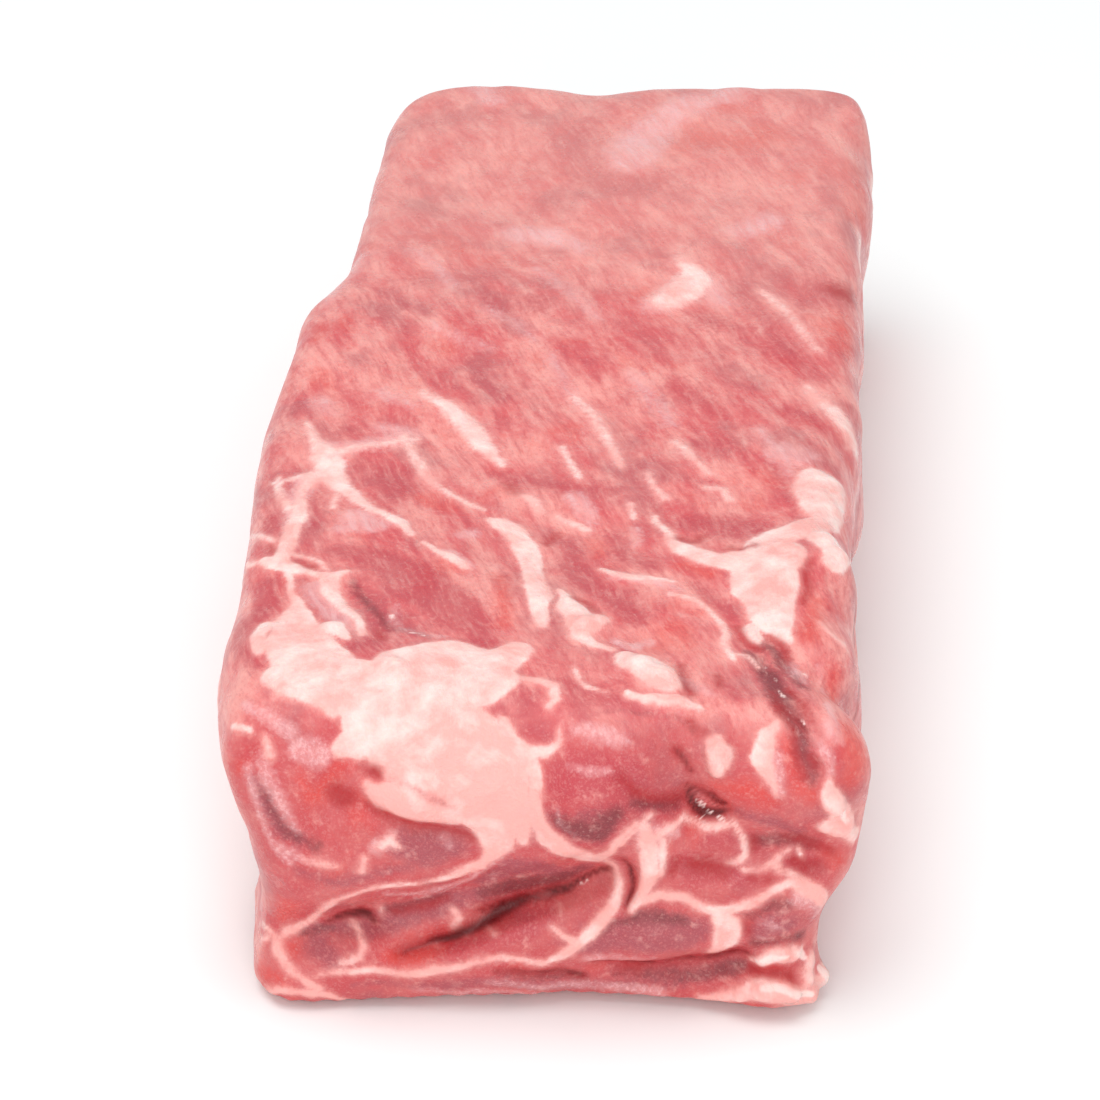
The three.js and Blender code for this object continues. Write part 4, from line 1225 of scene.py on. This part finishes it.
def flesh_colour(tree, on_cut, patterns, colours):
    """The colour of the flesh: layers of lean, film, fat and blood over each other, with painted shade in
    its seams, pits and folds, and painted glints and haze.
    """
    # Fat is cream with rosier clouds where blood has stained it, more so on the cut end.
    stain = add(
        tree, "ShaderNodeMath", [(0, on_cut), (1, 0.1), (2, patterns["clouds"])], operation="MULTIPLY_ADD"
    ).outputs[0]
    rosy = add(
        tree, "ShaderNodeMapRange", [("Value", stain), ("From Min", 0.36), ("From Max", 0.62)]
    ).outputs[0]
    fat = add(
        tree, "ShaderNodeMix", [(0, rosy), (6, colours.fat_cream), (7, colours.fat_rose)], data_type="RGBA"
    ).outputs[2]

    # Film is streaked along the fibres, so that the lean shows through it.
    streaked = add(
        tree,
        "ShaderNodeMapRange",
        [
            ("Value", patterns["fibres"]),
            ("From Min", 0.38),
            ("From Max", 0.64),
            ("To Min", 0.28),
            ("To Max", 0.74),
        ],
    ).outputs[0]

    # The layers, from the pale lean up: each grows from nothing to its strength between
    # two values of its pattern, or of its distance in mm from its strokes' edge, which
    # noise frays by as many mm as the third number says.
    flesh = colours.lean_pale
    for name, outer, inner, fray, strength, colour_over in (
        ("mottle", 0.31, 0.69, 0, 1, colours.lean_red),
        ("cut", 0, 0.9, 0.4, 0.72, colours.lean_cut),
        ("bruises", 0.5, 0.7, 0, 0.5, colours.plum),
        ("bruises", 0.44, 0.28, 0, 0.45, colours.scarlet),
        # Deeper-toned lean, with painted shade on the lower parts of the near end's muscles.
        ("deep", 1.6, -1.6, 3, 0.7, colours.lean_deep),
        ("scarlet", 2.2, -2.2, 3, 0.75, colours.scarlet),
        ("plum", 1.4, -1.4, 2.4, 0.85, colours.plum),
        ("fibres", 0.48, 0.72, 0, 0.38, colours.lean_deep),
        ("fibres", 0.5, 0.3, 0, 0.22, colours.marbling),
        # Painted shade in folds, pits and under overhangs, in dark plum-brown.
        ("painted_shade", 1.4, -1, 2, 0.86, colours.painted_shade),
        ("grains", 0.5, 0.25, 0, 0.3, colours.lean_deep),
        ("grains", 0.52, 0.8, 0, 0.26, colours.marbling),
        ("flecks", 0.54, 0.76, 0, 0.34, colours.marbling),
        # Painted haze: the far part of the top painted paler.
        ("painted_haze", 0, -1, 0, 0.35, colours.painted_haze),
        ("film", 0.9, -0.9, 2, streaked, colours.film),
        ("fat", 1.2, -0.2, 1.2, 0.45, colours.fat_rose),
        ("fat", 0.45, -0.4, 0.9, 1, fat),
        # Painted shade in blood red about pits, undercuts and folds, and darker red spots.
        ("blood", 1.4, -0.8, 1.2, 0.8, colours.blood),
        # Painted shade of the clefts: blood red at their edges, darkest in their depths.
        ("seam_shade", 1.5, -0.5, 0.8, 0.7, colours.blood),
        ("seam_shade", 0.5, -0.7, 0.35, 0.95, colours.seam_shade),
        # Painted glints, in the fat's cream colour.
        ("painted_glints", 0.3, -0.2, 0.3, 0.9, colours.fat_cream),
    ):
        value = patterns.get(name)
        if value is None:
            field = add(tree, "ShaderNodeAttribute", attribute_name=name).outputs["Fac"]
            value = add(
                tree,
                "ShaderNodeMath",
                [(0, patterns["ragged"]), (1, fray), (2, field)],
                operation="MULTIPLY_ADD",
            ).outputs[0]
        start, end = outer + fray / 2, inner + fray / 2
        share = add(
            tree,
            "ShaderNodeMapRange",
            [("Value", value), ("From Min", start), ("From Max", end), ("To Max", strength)],
            interpolation_type="SMOOTHSTEP",
        ).outputs[0]
        flesh = add(
            tree, "ShaderNodeMix", [(0, share), (6, flesh), (7, colour_over)], data_type="RGBA"
        ).outputs[2]
    return flesh


def raw_beef(colours, form):
    """Raw beef, cut with a knife and trimmed: soft flesh under a thin film of moisture.

    Light scatters a little way into it, so that its reds glow. Its fibre bundles are about a millimetre
    apart and show as streaks along the slab and as grains on the cut end. Fat is creamy where it is clean
    and rosy where blood has stained it, and film lets the lean show through. The seams, pits and folds
    hold painted shade in dark blood red, and glints and a haze over the far part of the top are painted
    too.
    """
    material = bpy.data.materials.new("raw_beef_cut_and_trimmed")
    material.use_nodes = True
    tree = material.node_tree
    tree.nodes.clear()
    on_cut = add(tree, "ShaderNodeAttribute", attribute_name="cut").outputs["Fac"]
    patterns = flesh_patterns(tree, on_cut, form.fibre_spacing)
    flesh = flesh_colour(tree, on_cut, patterns, colours)

    # Moisture lies in patches, smoother than the bare fibres between them.
    roughness = add(
        tree,
        "ShaderNodeMapRange",
        [
            ("Value", patterns["damp"]),
            ("From Min", 0.4),
            ("From Max", 0.62),
            ("To Min", 0.46),
            ("To Max", 0.26),
        ],
    ).outputs[0]
    height = add(
        tree,
        "ShaderNodeMath",
        [(0, patterns["fibres"]), (1, 0.7), (2, patterns["ragged"])],
        operation="MULTIPLY_ADD",
    ).outputs[0]
    bump = add(tree, "ShaderNodeBump", [("Strength", 0.45), ("Distance", 0.5 * MM), ("Height", height)])
    shader = add(
        tree,
        "ShaderNodeBsdfPrincipled",
        [
            ("Base Color", flesh),
            ("Roughness", roughness),
            ("IOR", 1.33),
            ("Subsurface Weight", 0.25),
            ("Subsurface Radius", (1.0, 0.3, 0.22)),
            ("Subsurface Scale", 1.6 * MM),
            ("Coat Weight", 0.12),
            ("Coat Roughness", 0.18),
            ("Coat IOR", 1.33),
            ("Normal", bump.outputs[0]),
        ],
    )
    add(tree, "ShaderNodeOutputMaterial", [("Surface", shader.outputs[0])])
    return material


def studio_board(board_colour):
    """Painted studio board, matt: a pale even floor with the faintest tooth.

    The grains of its tooth are 900 to the metre, which is coarser than real ones, so that
    they show at all.
    """
    material = bpy.data.materials.new("studio_board_painted_matt")
    material.use_nodes = True
    tree = material.node_tree
    tree.nodes.clear()
    spot = add(tree, "ShaderNodeTexCoord").outputs["Object"]
    tooth = add(tree, "ShaderNodeTexNoise", [("Vector", spot), ("Scale", 900), ("Detail", 2)])
    bump = add(
        tree,
        "ShaderNodeBump",
        [("Strength", 0.03), ("Distance", 0.2 * MM), ("Height", tooth.outputs["Fac"])],
    )
    shader = add(
        tree,
        "ShaderNodeBsdfPrincipled",
        [
            ("Base Color", board_colour),
            ("Roughness", 0.85),
            ("Specular IOR Level", 0.2),
            ("Normal", bump.outputs[0]),
        ],
    )
    add(tree, "ShaderNodeOutputMaterial", [("Surface", shader.outputs[0])])
    return material


# --- Properties. ----------------------------------------------------------------------


class FlapForm(bpy.types.PropertyGroup):
    """Sizes of the meat's relief and grain"""

    fat_rise: FloatProperty(
        name="Fat rise",
        description="How far fat stands proud of the lean, in mm",
        default=0.5,
        min=0,
        max=2,
    )
    fibre_spacing: FloatProperty(
        name="Fibre spacing",
        description="Distance between fibre bundles, in mm",
        default=1.3,
        min=0.3,
        max=4,
    )
    seed: IntProperty(name="Seed", description="Chooses the strokes of the hidden sides", default=7, min=0)


class FlapColours(bpy.types.PropertyGroup):
    """Colours of the meat"""

    lean_pale: colour("Lean, pale", "Lean on its lighter grain", "#ef9f98")
    lean_red: colour("Lean, red", "Lean on its darker grain", "#d65f63")
    # Also the colour of the painted shade on the lower parts of the near end's muscles.
    lean_deep: colour("Lean, deep", "The redder muscles", "#bb444f")
    lean_cut: colour("Lean, cut", "Lean cut across its grain", "#c1474c")
    scarlet: colour("Scarlet", "Freshly cut bright flesh", "#dc4a42")
    plum: colour("Plum", "Purple-brown muscle", "#a5505a")
    # The dark plum-brown of the painted shade in folds, pits and under overhangs.
    painted_shade: colour("Umber", "Dried, darkened edges and folds", "#7e373d")
    # Blood red, also used for the painted shade about seams, pits and folds.
    blood: colour("Blood", "Blood about seams and pits", "#ae2429")
    # The darkest red of the painted shade deep in the seams.
    seam_shade: colour("Wine", "The darkest blood, deep in seams", "#5e0309")
    marbling: colour("Marbling", "Fine flecks of fat in the lean", "#f6b9b0")
    film: colour("Film", "Silvery skin", "#f0bcbc")
    fat_cream: colour("Fat, cream", "Clean fat", "#fddcd6")
    fat_rose: colour("Fat, rose", "Fat stained with blood", "#f4afa8")
    # The paler colour of the painted haze over the far part of the top.
    painted_haze: colour("Dull surface", "The drier far half of the top", "#e8a79f")


class FlapStudio(bpy.types.PropertyGroup):
    """The floor, lights and surroundings"""

    floor_size: FloatProperty(
        name="Floor size",
        description="Side of the square floor",
        default=6.0,
        unit="LENGTH",
        subtype="DISTANCE",
    )
    floor_colour: colour("Floor", "Colour of the floor", "#fafdfd")
    key_power: FloatProperty(
        name="Key light", description="Power of the overhead light", default=10.0, unit="POWER"
    )
    fill_power: FloatProperty(
        name="Fill light", description="Power of the front light", default=6.6, unit="POWER"
    )
    surround: FloatProperty(
        name="Surround", description="Brightness of the white room", default=0.6, min=0
    )


# --- Operators. -----------------------------------------------------------------------


def new_piece(name, mesh, material):
    """An object of the mesh, smoothly shaded in its one material and put in the scene."""
    piece = bpy.data.objects.new(name, mesh)
    bpy.context.scene.collection.objects.link(piece)
    mesh.materials.append(material)
    mesh.shade_smooth()
    return piece


def record_piece(piece):
    """Says which body the piece rides on."""
    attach(piece, "root")


class FLAP_OT_slab(bpy.types.Operator):
    """Builds the slab of meat with its relief and marbling"""

    bl_idname = "flap.slab"
    bl_label = "Meat Slab"

    def execute(self, context):
        form, colours = context.scene.flap_form, context.scene.flap_colours
        skin = wrapped_skin()
        points, links = positions(skin), neighbours(skin)
        skin_tree = BVHTree.FromPolygons(points.tolist(), [list(face.vertices) for face in skin.polygons])
        ways = eased_ways(links, outward(skin))
        wobble = edge_wobble(points)
        fields = mark_fields(points, ways, wobble, skin_tree, form.seed)
        depths = opening_depths(points, skin_tree)
        rise = relief(points, ways, wobble, fields, form.fat_rise, skin_tree) - depths
        moved = points + ways * (rise * free_share(points, ways))[:, None]
        place(skin, settled(links, moved, np.clip(depths, SETTLE_LEAST, SETTLE_MOST)))
        for name, values in fields.items():
            layer = skin.attributes.new(name, "FLOAT", "POINT")
            layer.data.foreach_set("value", values.astype(np.float32))
        piece = new_piece("flap_meat_skin", skin, raw_beef(colours, form))
        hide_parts("flap_meat")
        record_piece(piece)
        return {"FINISHED"}


class FLAP_OT_stage(bpy.types.Operator):
    """Lays the floor and sets up the lights and the camera"""

    bl_idname = "flap.stage"
    bl_label = "Studio Stage"

    def execute(self, context):
        studio = context.scene.flap_studio
        half = studio.floor_size / 2
        mesh = bpy.data.meshes.new("studio_floor")
        corners = [(-half, -half, 0), (half, -half, 0), (half, half, 0), (-half, half, 0)]
        mesh.from_pydata(corners, [], [(0, 1, 2, 3)])
        new_piece("studio_floor", mesh, studio_board(studio.floor_colour))

        world = bpy.data.worlds.new("white_room")
        world.use_nodes = True
        tree = world.node_tree
        tree.nodes.clear()
        room = add(tree, "ShaderNodeBackground", [("Color", (1, 1, 1, 1)), ("Strength", studio.surround)])
        add(tree, "ShaderNodeOutputWorld", [("Surface", room.outputs[0])])
        context.scene.world = world

        # A large softbox overhead and a weaker one in front: power, side and place in metres.
        for name, power, size, spot in (
            ("key_softbox", studio.key_power, 1.1, (-0.2, -0.15, 1.35)),
            ("fill_softbox", studio.fill_power, 0.9, (0.1, -1.3, 0.6)),
        ):
            lamp = bpy.data.lights.new(name, "AREA")
            lamp.energy, lamp.size = power, size
            holder = bpy.data.objects.new(name, lamp)
            context.scene.collection.objects.link(holder)
            holder.location = spot
            holder.rotation_euler = (LIT_SPOT - Vector(spot)).to_track_quat("-Z", "Y").to_euler()

        camera = bpy.data.cameras.new("picture_camera")
        camera.lens, camera.sensor_width = LENS, SENSOR
        camera.clip_start, camera.clip_end = 0.01, 20
        holder = bpy.data.objects.new("picture_camera", camera)
        context.scene.collection.objects.link(holder)
        holder.location = EYE * MM
        holder.rotation_euler = (math.pi / 2 - LOOK_DOWN, 0, LOOK_ROUND)
        context.scene.camera = holder
        context.scene.view_settings.view_transform = "Standard"
        return {"FINISHED"}


class FLAP_PT_panel(bpy.types.Panel):
    """Lists the flap's pieces and their settings"""

    bl_label = "Beef Flap"
    bl_idname = "FLAP_PT_panel"
    bl_space_type = "VIEW_3D"
    bl_region_type = "UI"
    bl_category = "Flap"

    def draw(self, context):
        for group in ("flap_form", "flap_colours", "flap_studio"):
            box = self.layout.box()
            settings = getattr(context.scene, group)
            for name in settings.bl_rna.properties.keys():
                if name not in ("rna_type", "name"):
                    box.prop(settings, name)
        for operator in OPERATORS:
            self.layout.operator(operator.bl_idname)


GROUPS = {"flap_form": FlapForm, "flap_colours": FlapColours, "flap_studio": FlapStudio}
OPERATORS = (FLAP_OT_slab, FLAP_OT_stage)
CLASSES = (*GROUPS.values(), *OPERATORS, FLAP_PT_panel)


def register():
    for cls in CLASSES:
        bpy.utils.register_class(cls)
    for name, group in GROUPS.items():
        setattr(bpy.types.Scene, name, PointerProperty(type=group))


def unregister():
    for name in GROUPS:
        delattr(bpy.types.Scene, name)
    for cls in reversed(CLASSES):
        bpy.utils.unregister_class(cls)


def main():
    register()
    bpy.ops.flap.slab()
    bpy.ops.flap.stage()


if __name__ == "__main__":
    main()
